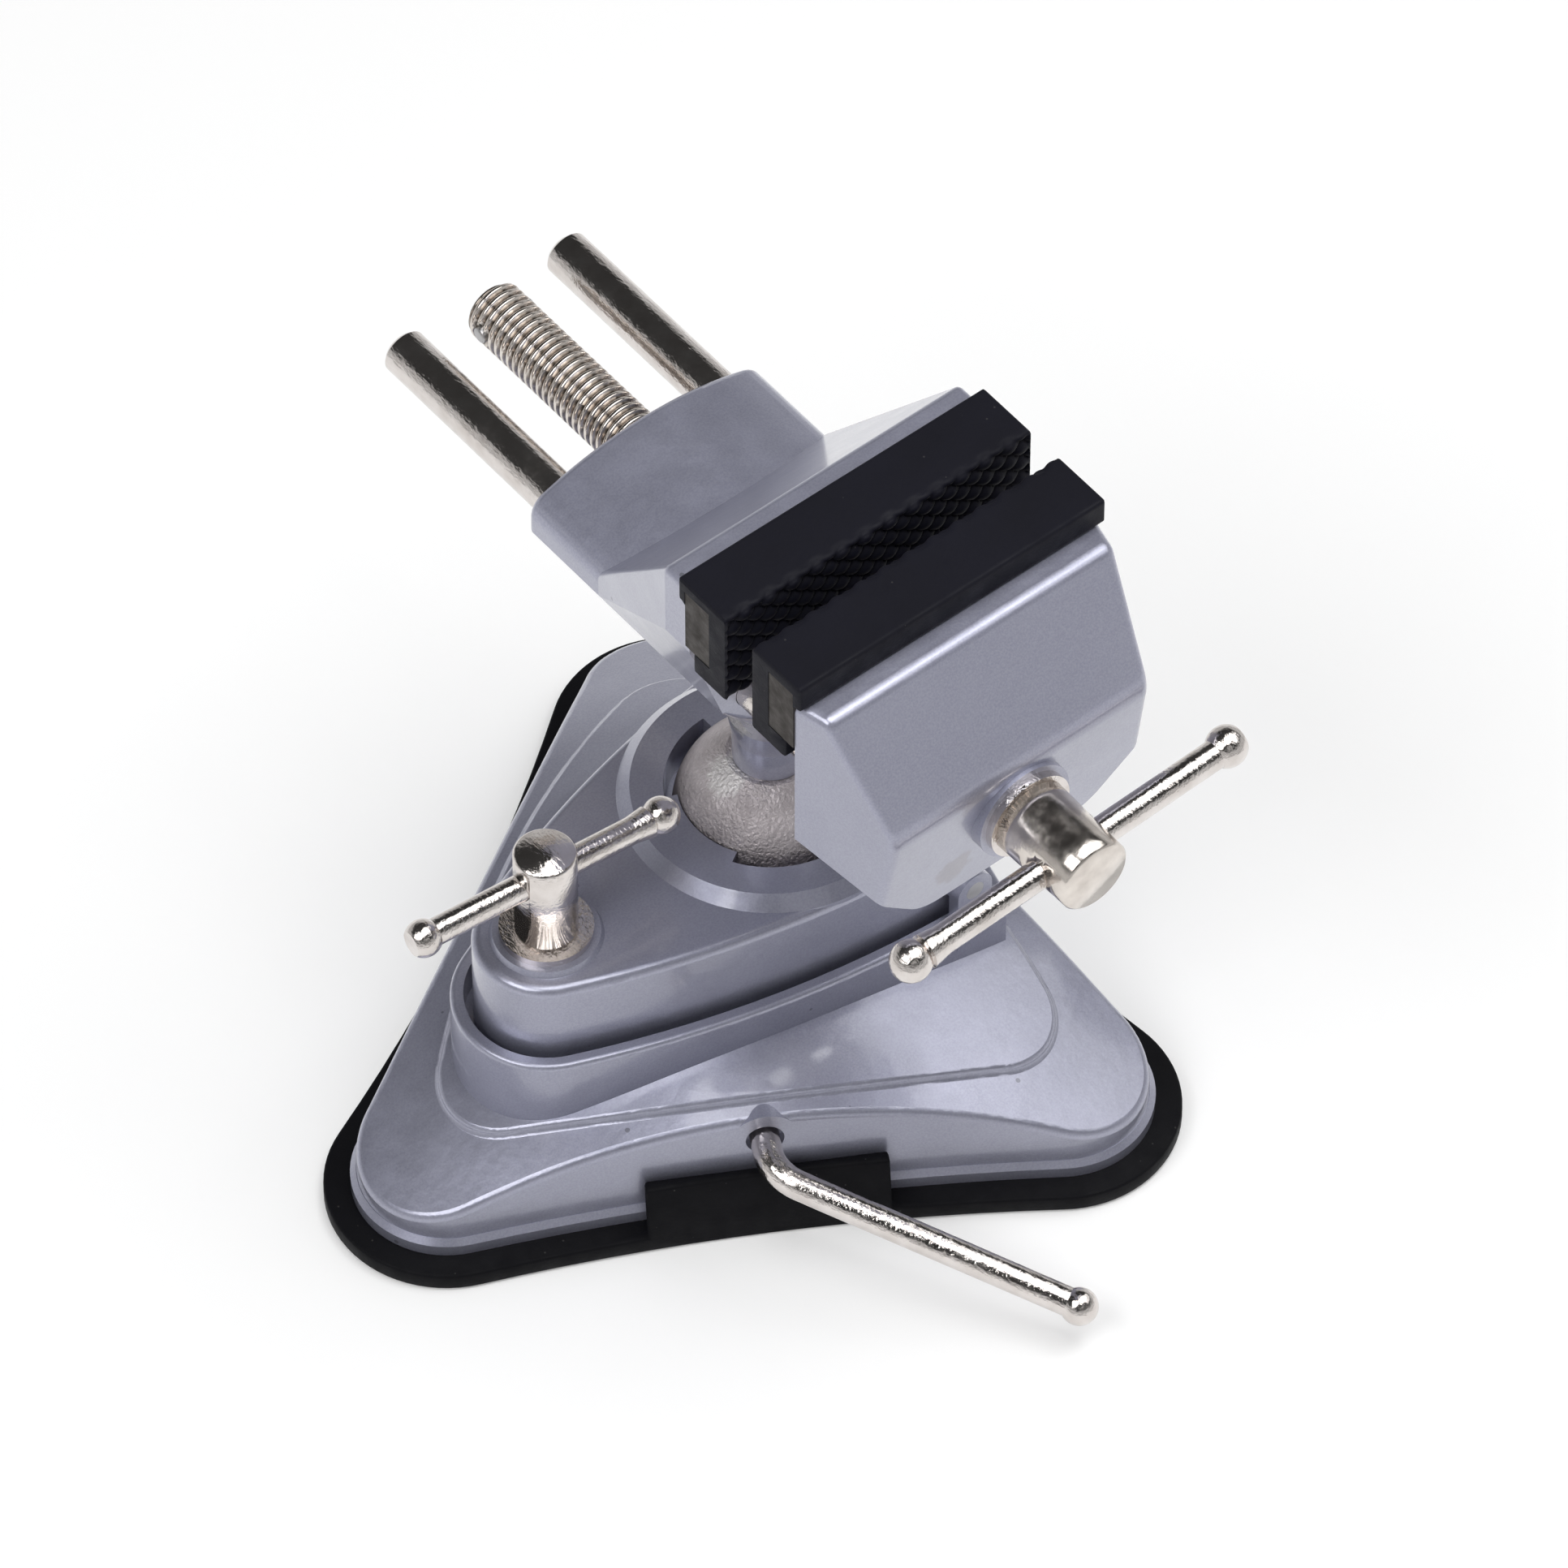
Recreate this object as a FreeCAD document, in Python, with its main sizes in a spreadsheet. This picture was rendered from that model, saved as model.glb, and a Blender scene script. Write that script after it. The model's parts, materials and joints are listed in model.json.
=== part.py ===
# Suction base vise: a small bench vise on a ball joint, with a three-lobed suction base.
# Millimetres. Z is up, the base stands on z = 0 and the origin is the middle of its sole.
# X runs along the clamp plate and across the jaws, and the jaws' screw points to -Y, the front.
import FreeCAD
import Part
import Sketcher
import math
import os
import re

Vector = FreeCAD.Vector
Rotation = FreeCAD.Rotation
Placement = FreeCAD.Placement

# Driving sizes, one block for each group of pieces.
SIZES = {
    # Fits and gaps that several pieces share
    "RunningFit": 0.08,
    "PressFit": 0.02,
    "BodyGap": 0.3,
    "Overrun": 5,
    # Three-lobed base: reach to a lobe's centre, radius of a lobe's tip, half-way distance of a side
    "LobeReach": 66,
    "PadTipRadius": 23,
    "PadMidSide": 52.5,
    "PadThickness": 3.75,
    "MembraneRadius": 37,
    "MembraneThickness": 2,
    "MembraneRise": 2.2,
    "MembraneFoot": 0.6,
    "SkirtTipRadius": 18,
    "SkirtMidSide": 47.9,
    "SkirtHeight": 3.6,
    "SkirtProud": 1.1,
    "BaseDraft": 0.8,
    "BaseWall": 3.6,
    # Cone-like top of the base, by radius from the middle
    "DomeTipRadius": 84,
    "DomeTipHeight": 12,
    "DomeShoulderRadius": 59,
    "DomeShoulderHeight": 23.6,
    "DomeInnerRadius": 35,
    "DomeInnerHeight": 31.2,
    "DomeCrownHeight": 36,
    "DomeShoulderRound": 120,
    "DomeInnerRound": 80,
    "BaseTopRound": 1.8,
    "StepTopRound": 1,
    "StepFootRound": 1,
    "RimRound": 1,
    "StepReach": 50,
    "StepTipRadius": 14,
    "StepMidSide": 43.6,
    "StepRise": 1.3,
    "StepSlope": 3,
    # Release tab of the sole, beside the lever
    "TabHalfWidth": 22.7,
    "TabHeight": 17.2,
    "TabThickness": 2,
    # Well that holds the clamp plate
    "WellFloor": 33,
    "RoofHeight": 30,
    "RimHeight": 40,
    "RimWall": 2.5,
    "WellGap": 1.7,
    # Clamp plate: a leaf from the clamp screw to the pivot, with a raised collar round the ball
    "ClampX": -41.8,
    "LeafTipRadius": 13.8,
    "LeafSide": 2.5,
    "LeafWideX": 40.8,
    "LeafEndX": 34,
    "LeafRise": 4.3,
    "LeafClearance": 2.5,
    "LeafWall": 4,
    "LeafDeck": 5,
    "CollarRise": 2.5,
    "CollarWall": 6.2,
    "CollarFlare": 2.5,
    "NotchGap": 1.5,
    "NotchAngle": 60,
    "NotchDepth": 8,
    "LeafRound": 1.8,
    "CollarRound": 0.8,
    "ClampBossStep": 1.25,
    "ClampBossHeight": 1.1,
    # Pivot of the clamp plate
    "PivotX": 30.8,
    "PivotRise": 10.5,
    "PivotPinRadius": 2,
    "PivotPinLength": 12,
    "EarRadius": 4,
    "EarThickness": 3.6,
    # Clamp screw and its bar
    "ClampShankRadius": 4,
    "ClampShankDrop": 3,
    "ClampHubStep": 1.9,
    "ClampHubRise": 6.6,
    "ClampHoleGap": 0.7,
    "ClampNutWall": 4,
    "ClampNutFoot": 20,
    "ClampWasherStep": 2.85,
    "ClampWasherThickness": 1.5,
    "ClampBarRise": 17,
    "ClampBarHeading": 174.6,
    "ClampBarRadius": 2.6,
    "ClampBarBallRadius": 3.6,
    "ClampBarHalf": 25.7,
    "ClampBarShift": 0.6,
    # Ball joint
    "BallX": 10.8,
    "BallFootGap": 1.4,
    "BallRadius": 18.3,
    "BallFlatDrop": 2,
    "BallScrewRadius": 4,
    "BallScrewHeadRadius": 6.5,
    "BallScrewHeadHeight": 5,
    "BallScrewHeadDepth": 10,
    "BallScrewLength": 42,
    "HexSocketRadius": 3,
    "SeatInset": 4.3,
    "SeatWidth": 7,
    "SeatBossWall": 3,
    "SeatBossRise": 13.1,
    # Rear jaw
    "NeckRadius": 7.2,
    "NeckRise": 23.3,
    "NeckLap": 1,
    "JawRise": 67.5,
    "RearArchRise": 10,
    "RearArchRadius": 68,
    "RearArchRound": 5,
    "RearBlockBack": 37,
    "RearBlockSide": 7.6,
    "RearCreaseDepth": 20.5,
    "RearBowlRise": 2.2,
    "RearRimBack": -12.3,
    "RearRimRise": 37.8,
    "RearSlopeReach": 5,
    "RearFlareRise": 20.8,
    "RearFace": -19.1,
    "RearRimDrop": 1,
    "RearEdgeRound": 1.5,
    "CastingRound": 2.5,
    # Jaw plates and their rubber covers
    "PlateEndDrop": 0.1,
    "PlateThickness": 6.8,
    "PlateRise": 23.4,
    "PlateTall": 14.8,
    "PadHalfLength": 35,
    "PadTopWall": 2.5,
    "PadBottomWall": 5,
    "PadGripWall": 5,
    "PadBackLip": 1.9,
    "PadBackLipDrop": 3.4,
    "PadLowerLip": 9.6,
    "JawGap": 6.6,
    "JawScrewRadius": 2,
    "JawScrewHeadRadius": 3.6,
    "JawScrewHeadHeight": 2.2,
    "JawScrewLength": 10,
    "JawScrewInset": 12.9,
    # Front jaw
    "FrontTopDrop": 3.6,
    "FrontTopReach": 6.7,
    "FrontCreaseReach": 21.9,
    "FrontCreaseRise": 12.4,
    "FrontFootReach": 16.7,
    "FrontBottomDrop": 18.7,
    "FrontBackDrop": 0.5,
    "FrontCreaseSide": 10.3,
    "FrontCheekDrop": 1.2,
    "FrontBottomHalfWidth": 19,
    "FrontCheekRise": 4.1,
    "FrontCheekRound": 10,
    "FrontTopRound": 3,
    "FrontCreaseRound": 8,
    "FrontSideRound": 2,
    "FrontBossStep": 1.2,
    "FrontBossReach": 22.3,
    # Guide rods
    "RodX": 18.9,
    "RodRadius": 4.5,
    "RodReach": 46.5,
    "RodDepth": 14,
    "RodChamfer": 0.8,
    "RodPinRadius": 1.5,
    "RodPinLength": 14,
    # Where a bar's thickened neck starts, as a share of its ball's radius
    "BarNeckShare": 0.8,
    # Latitude at which a bar's pressed-on ball end is cut flat
    "CapFlatAngle": 46,
    # Main screw and its bar
    "ScrewRadius": 6,
    "ScrewReach": 44.5,
    "ScrewChamfer": 1.2,
    "ScrewBoreGap": 0.3,
    "HubStep": 1.75,
    "HubTaper": 0.35,
    "HubLength": 19.6,
    "HubChamfer": 0.5,
    "WasherStep": 1.25,
    "WasherThickness": 1.6,
    "RetainerStep": 1.6,
    "RetainerThickness": 1.4,
    "RetainerGroove": 0.6,
    "StopPinDrop": 4.5,
    "StopPinRadius": 1.6,
    "StopPinProud": 1.4,
    "BarReach": 12.4,
    "BarAngle": 2.8,
    "BarRadius": 2.8,
    "BarBallRadius": 4,
    "BarHalf": 36.4,
    # Suction lever and what it lifts
    "LeverHeight": 20.8,
    "LeverAngle": -120,
    "LeverRadius": 2.8,
    "LeverHoleGap": 0.8,
    "LeverHoleDepth": 2.5,
    "LeverElbow": 54.6,
    "LeverArmOut": 29.8,
    "LeverArmAcross": 53.4,
    "LeverArmAngle": -13,
    "LeverBendRadius": 9,
    "LeverBallStep": 0.8,
    "LeverInnerEnd": 18,
    "LeverBossWall": 3.7,
    "LeverBossLength": 8,
    "LeverPostNear": 8,
    "LeverPostLength": 6,
    "LeverPostHalfWidth": 6,
    "LeverPostFoot": 15,
    "CamWall": 2.2,
    "CamThrow": 1.5,
    "CamHalfWidth": 3.5,
    "CamGap": 0.37,
    "YokeWall": 1.4,
    "YokeSideGap": 0.4,
    "YokeHalfWidth": 4,
    "ClipWall": 1.8,
    "ClipThickness": 1,
    "LiftPlateRadius": 24,
    "LiftPlateThickness": 2,
}

# Places that follow from the sizes above
TIES = {
    "PlateHalfLength": "PadHalfLength - PlateEndDrop",
    "RearRimHalfWidth": "PadHalfLength - RearRimDrop",
    "FrontBackHalfWidth": "PadHalfLength - FrontBackDrop",
    "JawScrewSpacing": "PlateHalfLength - JawScrewInset",
    "RearBlockHalfWidth": "RodX + RearBlockSide",
    "FrontCreaseHalfWidth": "RodX + FrontCreaseSide",
    "ScrewBoreRadius": "ScrewRadius + ScrewBoreGap",
    "HubRadius": "ScrewRadius + HubStep",
    "HubEndRadius": "HubRadius - HubTaper",
    "WasherRadius": "HubRadius + WasherStep",
    "RetainerRadius": "ScrewRadius + RetainerStep",
    "StopPinHalfLength": "ScrewRadius + StopPinProud",
    "FrontBossRadius": "WasherRadius + FrontBossStep",
    "ClampHoleRadius": "ClampShankRadius + ClampHoleGap",
    "ClampNutRadius": "ClampShankRadius + ClampNutWall",
    "ClampHubRadius": "ClampShankRadius + ClampHubStep",
    "ClampWasherRadius": "ClampHubRadius + ClampWasherStep",
    "ClampBossRadius": "ClampWasherRadius + ClampBossStep",
    "LeverHoleRadius": "LeverRadius + LeverHoleGap",
    "LeverBossRadius": "LeverRadius + LeverBossWall",
    "LeverBallRadius": "LeverRadius + LeverBallStep",
    "CamRadius": "LeverRadius + CamWall",
    "ClipRadius": "LeverRadius + ClipWall",
    "BallFlat": "BallRadius - BallFlatDrop",
    "NotchRadius": "BallRadius + NotchGap",
    "CollarRadius": "NotchRadius + CollarWall",
    "CollarFoot": "CollarRadius + CollarFlare",
    "LeafHalfWidth": "CollarFoot + LeafSide",
    "SeatOuterRadius": "BallRadius - SeatInset",
    "SeatInnerRadius": "SeatOuterRadius - SeatWidth",
    "SeatBossRadius": "SeatOuterRadius + SeatBossWall",
    "BallHeight": "WellFloor + BallRadius + BallFootGap",
    "LeafTop": "BallHeight + LeafRise",
    "CollarTop": "LeafTop + CollarRise",
    "LeafBottom": "WellFloor + LeafClearance",
    "PivotHeight": "LeafBottom + PivotRise",
    "SeatBossTop": "BallHeight - SeatBossRise",
    "ClampBarHeight": "LeafTop + ClampBarRise",
    "ClampHubTop": "ClampBarHeight + ClampHubRise",
    "NeckTop": "BallHeight + NeckRise",
    "JawAxisHeight": "BallHeight + JawRise",
    "RearArchTop": "JawAxisHeight + RearArchRise",
    "RearBowlTop": "JawAxisHeight - RearBowlRise",
    "RearRimTop": "JawAxisHeight + RearRimRise",
    "RearFlareTop": "JawAxisHeight + RearFlareRise",
    "PlateBottom": "JawAxisHeight + PlateRise",
    "PlateTop": "PlateBottom + PlateTall",
    "PadTop": "PlateTop + PadTopWall",
    "PadBottom": "PlateBottom - PadBottomWall",
    "PadBackLipFoot": "PlateTop - PadBackLipDrop",
    "FrontTop": "PlateTop - FrontTopDrop",
    "FrontCreaseHeight": "JawAxisHeight + FrontCreaseRise",
    "FrontCheekFoot": "JawAxisHeight - FrontCheekDrop",
    "FrontBottom": "JawAxisHeight - FrontBottomDrop",
    "FrontFace": "RearFace - 2 * (PlateThickness + PadGripWall) - JawGap",
    "FrontTopEdge": "FrontFace - FrontTopReach",
    "FrontCrease": "FrontFace - FrontCreaseReach",
    "FrontFoot": "FrontFace - FrontFootReach",
    "FrontBossFace": "FrontFace - FrontBossReach",
    "HubEnd": "FrontBossFace - HubLength",
    "BarY": "FrontBossFace - BarReach",
    "RodTip": "RearBlockBack + RodReach",
    "ScrewTip": "RearBlockBack + ScrewReach",
    "StopPinY": "ScrewTip - StopPinDrop",
    "ClampShankTip": "ClampNutFoot - ClampShankDrop",
    "RearCrease": "RearBlockBack - RearCreaseDepth",
    "RearSlopeFoot": "RearCrease + RearSlopeReach",
}

document = FreeCAD.newDocument("suction_base_vise")
sheet = document.addObject("Spreadsheet::Sheet", "Sizes")
cells = {alias: str(size) for alias, size in SIZES.items()}
cells.update({alias: f"={formula}" for alias, formula in TIES.items()})
for row, (alias, content) in enumerate(cells.items(), start=1):
    sheet.set(f"A{row}", alias)
    sheet.setAlias(f"B{row}", alias)
    sheet.set(f"B{row}", content)
document.recompute()

# One spare object works out what an expression comes to, for the first drawing of a sketch.
scale = document.addObject("App::FeaturePython", "Scale")
scale.addProperty("App::PropertyFloat", "Reading")


def bound(expression):
    """Sheet names start with a capital letter: LeafTop becomes Sizes.LeafTop."""
    return re.sub(r"\b([A-Z][A-Za-z]+)\b", r"Sizes.\1", expression)


def reading(expression):
    scale.setExpression("Reading", bound(expression))
    scale.recompute()
    return scale.Reading


def follow(item, **bindings):
    """Bind properties of an object to expressions."""
    for name, expression in bindings.items():
        item.setExpression(name, bound(expression))


def place(item, at=("0", "0", "0"), turn=None):
    """Put an object at a bound point, with a fixed or a given rotation."""
    item.Placement = Placement(Vector(), turn or Rotation())
    for axis, expression in zip("xyz", at):
        if expression != "0":
            item.setExpression(f"Placement.Base.{axis}", bound(expression))
    return item


ALONG_Y = Rotation(Vector(1, 0, 0), -90)
ALONG_MINUS_Y = Rotation(Vector(1, 0, 0), 90)
ALONG_X = Rotation(Vector(0, 1, 0), 90)


def cylinder(label, radius, height, at=("0", "0", "0"), turn=None):
    item = document.addObject("Part::Cylinder", label)
    follow(item, Radius=radius, Height=height)
    return place(item, at, turn)


def cone(label, lower, upper, height, at=("0", "0", "0"), turn=None):
    item = document.addObject("Part::Cone", label)
    follow(item, Radius1=lower, Radius2=upper, Height=height)
    return place(item, at, turn)


def box(label, length, width, height, at=("0", "0", "0"), turn=None):
    item = document.addObject("Part::Box", label)
    follow(item, Length=length, Width=width, Height=height)
    return place(item, at, turn)


def sphere(label, radius, at=("0", "0", "0")):
    item = document.addObject("Part::Sphere", label)
    follow(item, Radius=radius)
    return place(item, at)


def cut(label, base, *tools):
    tool = tools[0] if len(tools) == 1 else fuse(f"{label}_tools", *tools)
    item = document.addObject("Part::Cut", label)
    item.Base = base
    item.Tool = tool
    return item


def fuse(label, *pieces):
    item = document.addObject("Part::MultiFuse", label)
    item.Shapes = list(pieces)
    return item


def common(label, *pieces):
    item = document.addObject("Part::MultiCommon", label)
    item.Shapes = list(pieces)
    return item


def soften(label, item, radius, chosen):
    """Object with some edges rounded. Chosen tells them by their middle and their faces' normals."""
    document.recompute()
    shape = item.Shape
    size = reading(radius)
    edges = []
    for number, edge in enumerate(shape.Edges, start=1):
        middle = edge.valueAt((edge.FirstParameter + edge.LastParameter) / 2)
        sides = shape.ancestorsOfType(edge, Part.Face)
        if len(sides) == 2:
            normals = [side.normalAt(*side.Surface.parameter(middle)) for side in sides]
            if chosen(middle, *sorted(normals, key=lambda normal: abs(normal.z))):
                edges.append((number, size, size))
    rounded = document.addObject("Part::Fillet", label)
    rounded.Base = item
    rounded.Edges = edges
    return rounded


def plane_of(body, role):
    return next(item for item in body.Origin.OriginFeatures if item.Role == role)


def outline_sketch(body, role, outline):
    """Closed outline of straight edges. Each corner is held at its bound place."""
    sketch = body.newObject("Sketcher::SketchObject", f"{body.Name}_outline")
    sketch.AttachmentSupport = [(plane_of(body, role), "")]
    sketch.MapMode = "FlatFace"
    corners = [(reading(across), reading(up)) for across, up in outline]
    for start, end in zip(corners, corners[1:] + corners[:1]):
        sketch.addGeometry(Part.LineSegment(Vector(*start, 0), Vector(*end, 0)), False)
    for edge in range(len(corners)):
        sketch.addConstraint(Sketcher.Constraint("Coincident", edge, 2, (edge + 1) % len(corners), 1))
    for edge, corner in enumerate(outline):
        for kind, expression, size in zip(("DistanceX", "DistanceY"), corner, corners[edge]):
            index = sketch.addConstraint(Sketcher.Constraint(kind, -1, 1, edge, 1, size))
            if expression != "0":
                sketch.setExpression(f"Constraints[{index}]", bound(expression))
    return sketch


def turned(label, outline, at=("0", "0", "0"), turn=None):
    """Body turned round its own Z axis from (radius, height) corners."""
    body = document.addObject("PartDesign::Body", label)
    sketch = outline_sketch(body, "XZ_Plane", outline)
    revolution = body.newObject("PartDesign::Revolution", f"{label}_turned")
    revolution.Profile = sketch
    revolution.ReferenceAxis = (sketch, ["V_Axis"])
    revolution.Angle = 360
    return place(body, at, turn)


def padded(label, role, outline, length, at=("0", "0", "0"), turn=None):
    """Body padded from straight-edged corners, away from the plane."""
    body = document.addObject("PartDesign::Body", label)
    pad = body.newObject("PartDesign::Pad", f"{label}_pad")
    pad.Profile = outline_sketch(body, role, outline)
    follow(pad, Length=length)
    return place(body, at, turn)


def solid(label, shape):
    """Solid whose faces neither a sketch nor a primitive gives."""
    item = document.addObject("Part::Feature", label)
    item.Shape = shape
    return item


def arc(start, middle, end):
    return Part.Arc(start, middle, end).toShape()


def lobed_outline(reach, tip_radius, mid_side, height):
    """Wire of three lobes: a tip arc round each lobe's centre, and a side arc between two."""
    reach = reading(reach)
    tip_radius = reading(tip_radius)
    mid_side = reading(mid_side)
    height = reading(height)
    flat = mid_side - tip_radius
    side_centre = (flat ** 2 - reach ** 2) / (2 * flat - reach)
    edges = []
    for lobe in (60, 180, 300):
        centre = Vector(reach, 0, 0)
        towards = Vector(side_centre, 0, 0)
        lobe_turn = Rotation(Vector(0, 0, 1), lobe)
        side_turn = Rotation(Vector(0, 0, 1), lobe + 60)
        last_turn = Rotation(Vector(0, 0, 1), lobe - 60)
        lobe_centre = lobe_turn.multVec(centre)
        tangents = []
        for side in (last_turn, side_turn):
            away = side.multVec(towards) - lobe_centre
            away.normalize()
            sign = 1 if side_centre > 0 else -1
            tangents.append(lobe_centre + away * (tip_radius * sign))
        tip = lobe_turn.multVec(Vector(reach + tip_radius, 0, 0))
        edges.append(arc(tangents[0], tip, tangents[1]))
        side_middle = side_turn.multVec(Vector(mid_side, 0, 0))
        mirrored = Rotation(Vector(0, 0, 1), 120).multVec(tangents[0])
        edges.append(arc(tangents[1], side_middle, mirrored))
    wire = Part.Wire(edges)
    wire.translate(Vector(0, 0, height))
    return wire


def leaf_outline(offset, height, end_bulge="BallX + CollarFoot"):
    """Wire of the clamp plate's leaf, moved outwards by an offset. Its end bows out to end_bulge."""
    offset = reading(offset)
    height = reading(height)
    tip_x = reading("ClampX")
    tip_radius = reading("LeafTipRadius")
    half = reading("LeafHalfWidth")
    wide_x = reading("LeafWideX")
    end_x = reading("LeafEndX") + offset
    end_middle = reading(end_bulge) + offset
    span = wide_x - tip_x
    side_radius = (span ** 2 + half ** 2 - tip_radius ** 2) / (2 * (half - tip_radius))
    depth = side_radius - half
    radius = side_radius + offset

    def side_point(x):
        return Vector(x, math.sqrt(radius ** 2 - (wide_x - x) ** 2) - depth, 0)

    reach = (tip_radius + offset) / (side_radius - tip_radius)
    tangent = Vector(tip_x - span * reach, depth * reach, 0)
    tip = Vector(tip_x - tip_radius - offset, 0, 0)
    corner = side_point(end_x)
    middle = side_point((tangent.x + end_x) / 2)

    def mirrored(point):
        return Vector(point.x, -point.y, 0)

    wire = Part.Wire([
        arc(mirrored(tangent), tip, tangent),
        arc(tangent, middle, corner),
        arc(corner, Vector(end_middle, 0, 0), mirrored(corner)),
        arc(mirrored(corner), mirrored(middle), mirrored(tangent)),
    ])
    wire.translate(Vector(0, 0, height))
    return wire


def prism(label, wire, height):
    """Straight solid over a flat wire."""
    return solid(label, Part.Face(wire).extrude(Vector(0, 0, reading(height))))


def ruled(label, *wires):
    """Solid between flat wires, straight from each to the next."""
    return solid(label, Part.makeLoft(list(wires), True, True))


# Base casting

DOME = [
    ("DomeTipRadius + Overrun", "DomeTipHeight - Overrun * (DomeShoulderHeight - DomeTipHeight)"
     " / (DomeTipRadius - DomeShoulderRadius)"),
    ("DomeShoulderRadius", "DomeShoulderHeight"),
    ("DomeInnerRadius", "DomeInnerHeight"),
    ("0", "DomeCrownHeight"),
]


def dome(label, drop, ceiling):
    """Turned solid under the base's top surface, lowered by a drop and cut flat at a ceiling."""
    lowered = [(radius, f"min({height} - {drop}; {ceiling})") for radius, height in DOME[:-1]]
    outline = [("0", "0"), (DOME[0][0], "0")] + lowered + [("0", ceiling)]
    return turned(label, outline)


# How far off its radius a dome's ridge is looked for, how upright the normals of side and top
# faces stand, and the least turn in radians between the faces of an edge that gets rounded.
RING_SHARE = 0.01
SIDE_SHARE = 0.1
STEP_SIDE_SHARE = 0.3
TOP_SHARE = 0.6
SHARP_TURN = 0.2


def smooth_dome(label, drop):
    """The same with its two ridges rounded."""
    item = dome(f"{label}_ridges", drop, "DomeCrownHeight")
    for name, ring, radius in (("shoulder", "DomeShoulderRadius", "DomeShoulderRound"),
                               ("inner", "DomeInnerRadius", "DomeInnerRound")):
        size = reading(ring)

        def on_ring(middle, steep, level):
            return abs(math.hypot(middle.x, middle.y) - size) < size * RING_SHARE and steep.z > 0

        item = soften(f"{label}_{name}", item, radius, on_ring)
    return item


def on_block(middle, side, top):
    """Edge between the base's upright side and its top."""
    return abs(side.z) < SIDE_SHARE and top.z > TOP_SHARE and middle.z > reading("DomeTipHeight")


def on_step(middle, side, top):
    """Edge between the step's sloping side and a top face."""
    return SIDE_SHARE < side.z < STEP_SIDE_SHARE and top.z > TOP_SHARE and side.getAngle(top) > SHARP_TURN


def soft_top(low, high):
    """The two levels of the base's top with rounded edges and a rounded foot of the step."""
    levels = fuse("base_levels", low, high)
    round_low = soften("base_low_edge", levels, "BaseTopRound", on_block)
    reach = reading("StepFootRound")

    def convex(middle, side, top):
        if not on_step(middle, side, top):
            return False
        beyond = middle + Vector(side.x, side.y, 0) * reach - Vector(0, 0, reach)
        return not levels.Shape.isInside(beyond, reach * RING_SHARE, False)

    round_high = soften("base_step_edge", round_low, "StepTopRound", convex)

    def concave(middle, side, top):
        return on_step(middle, side, top) and not convex(middle, side, top)

    return soften("base_step_foot", round_high, "StepFootRound", concave)


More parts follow.
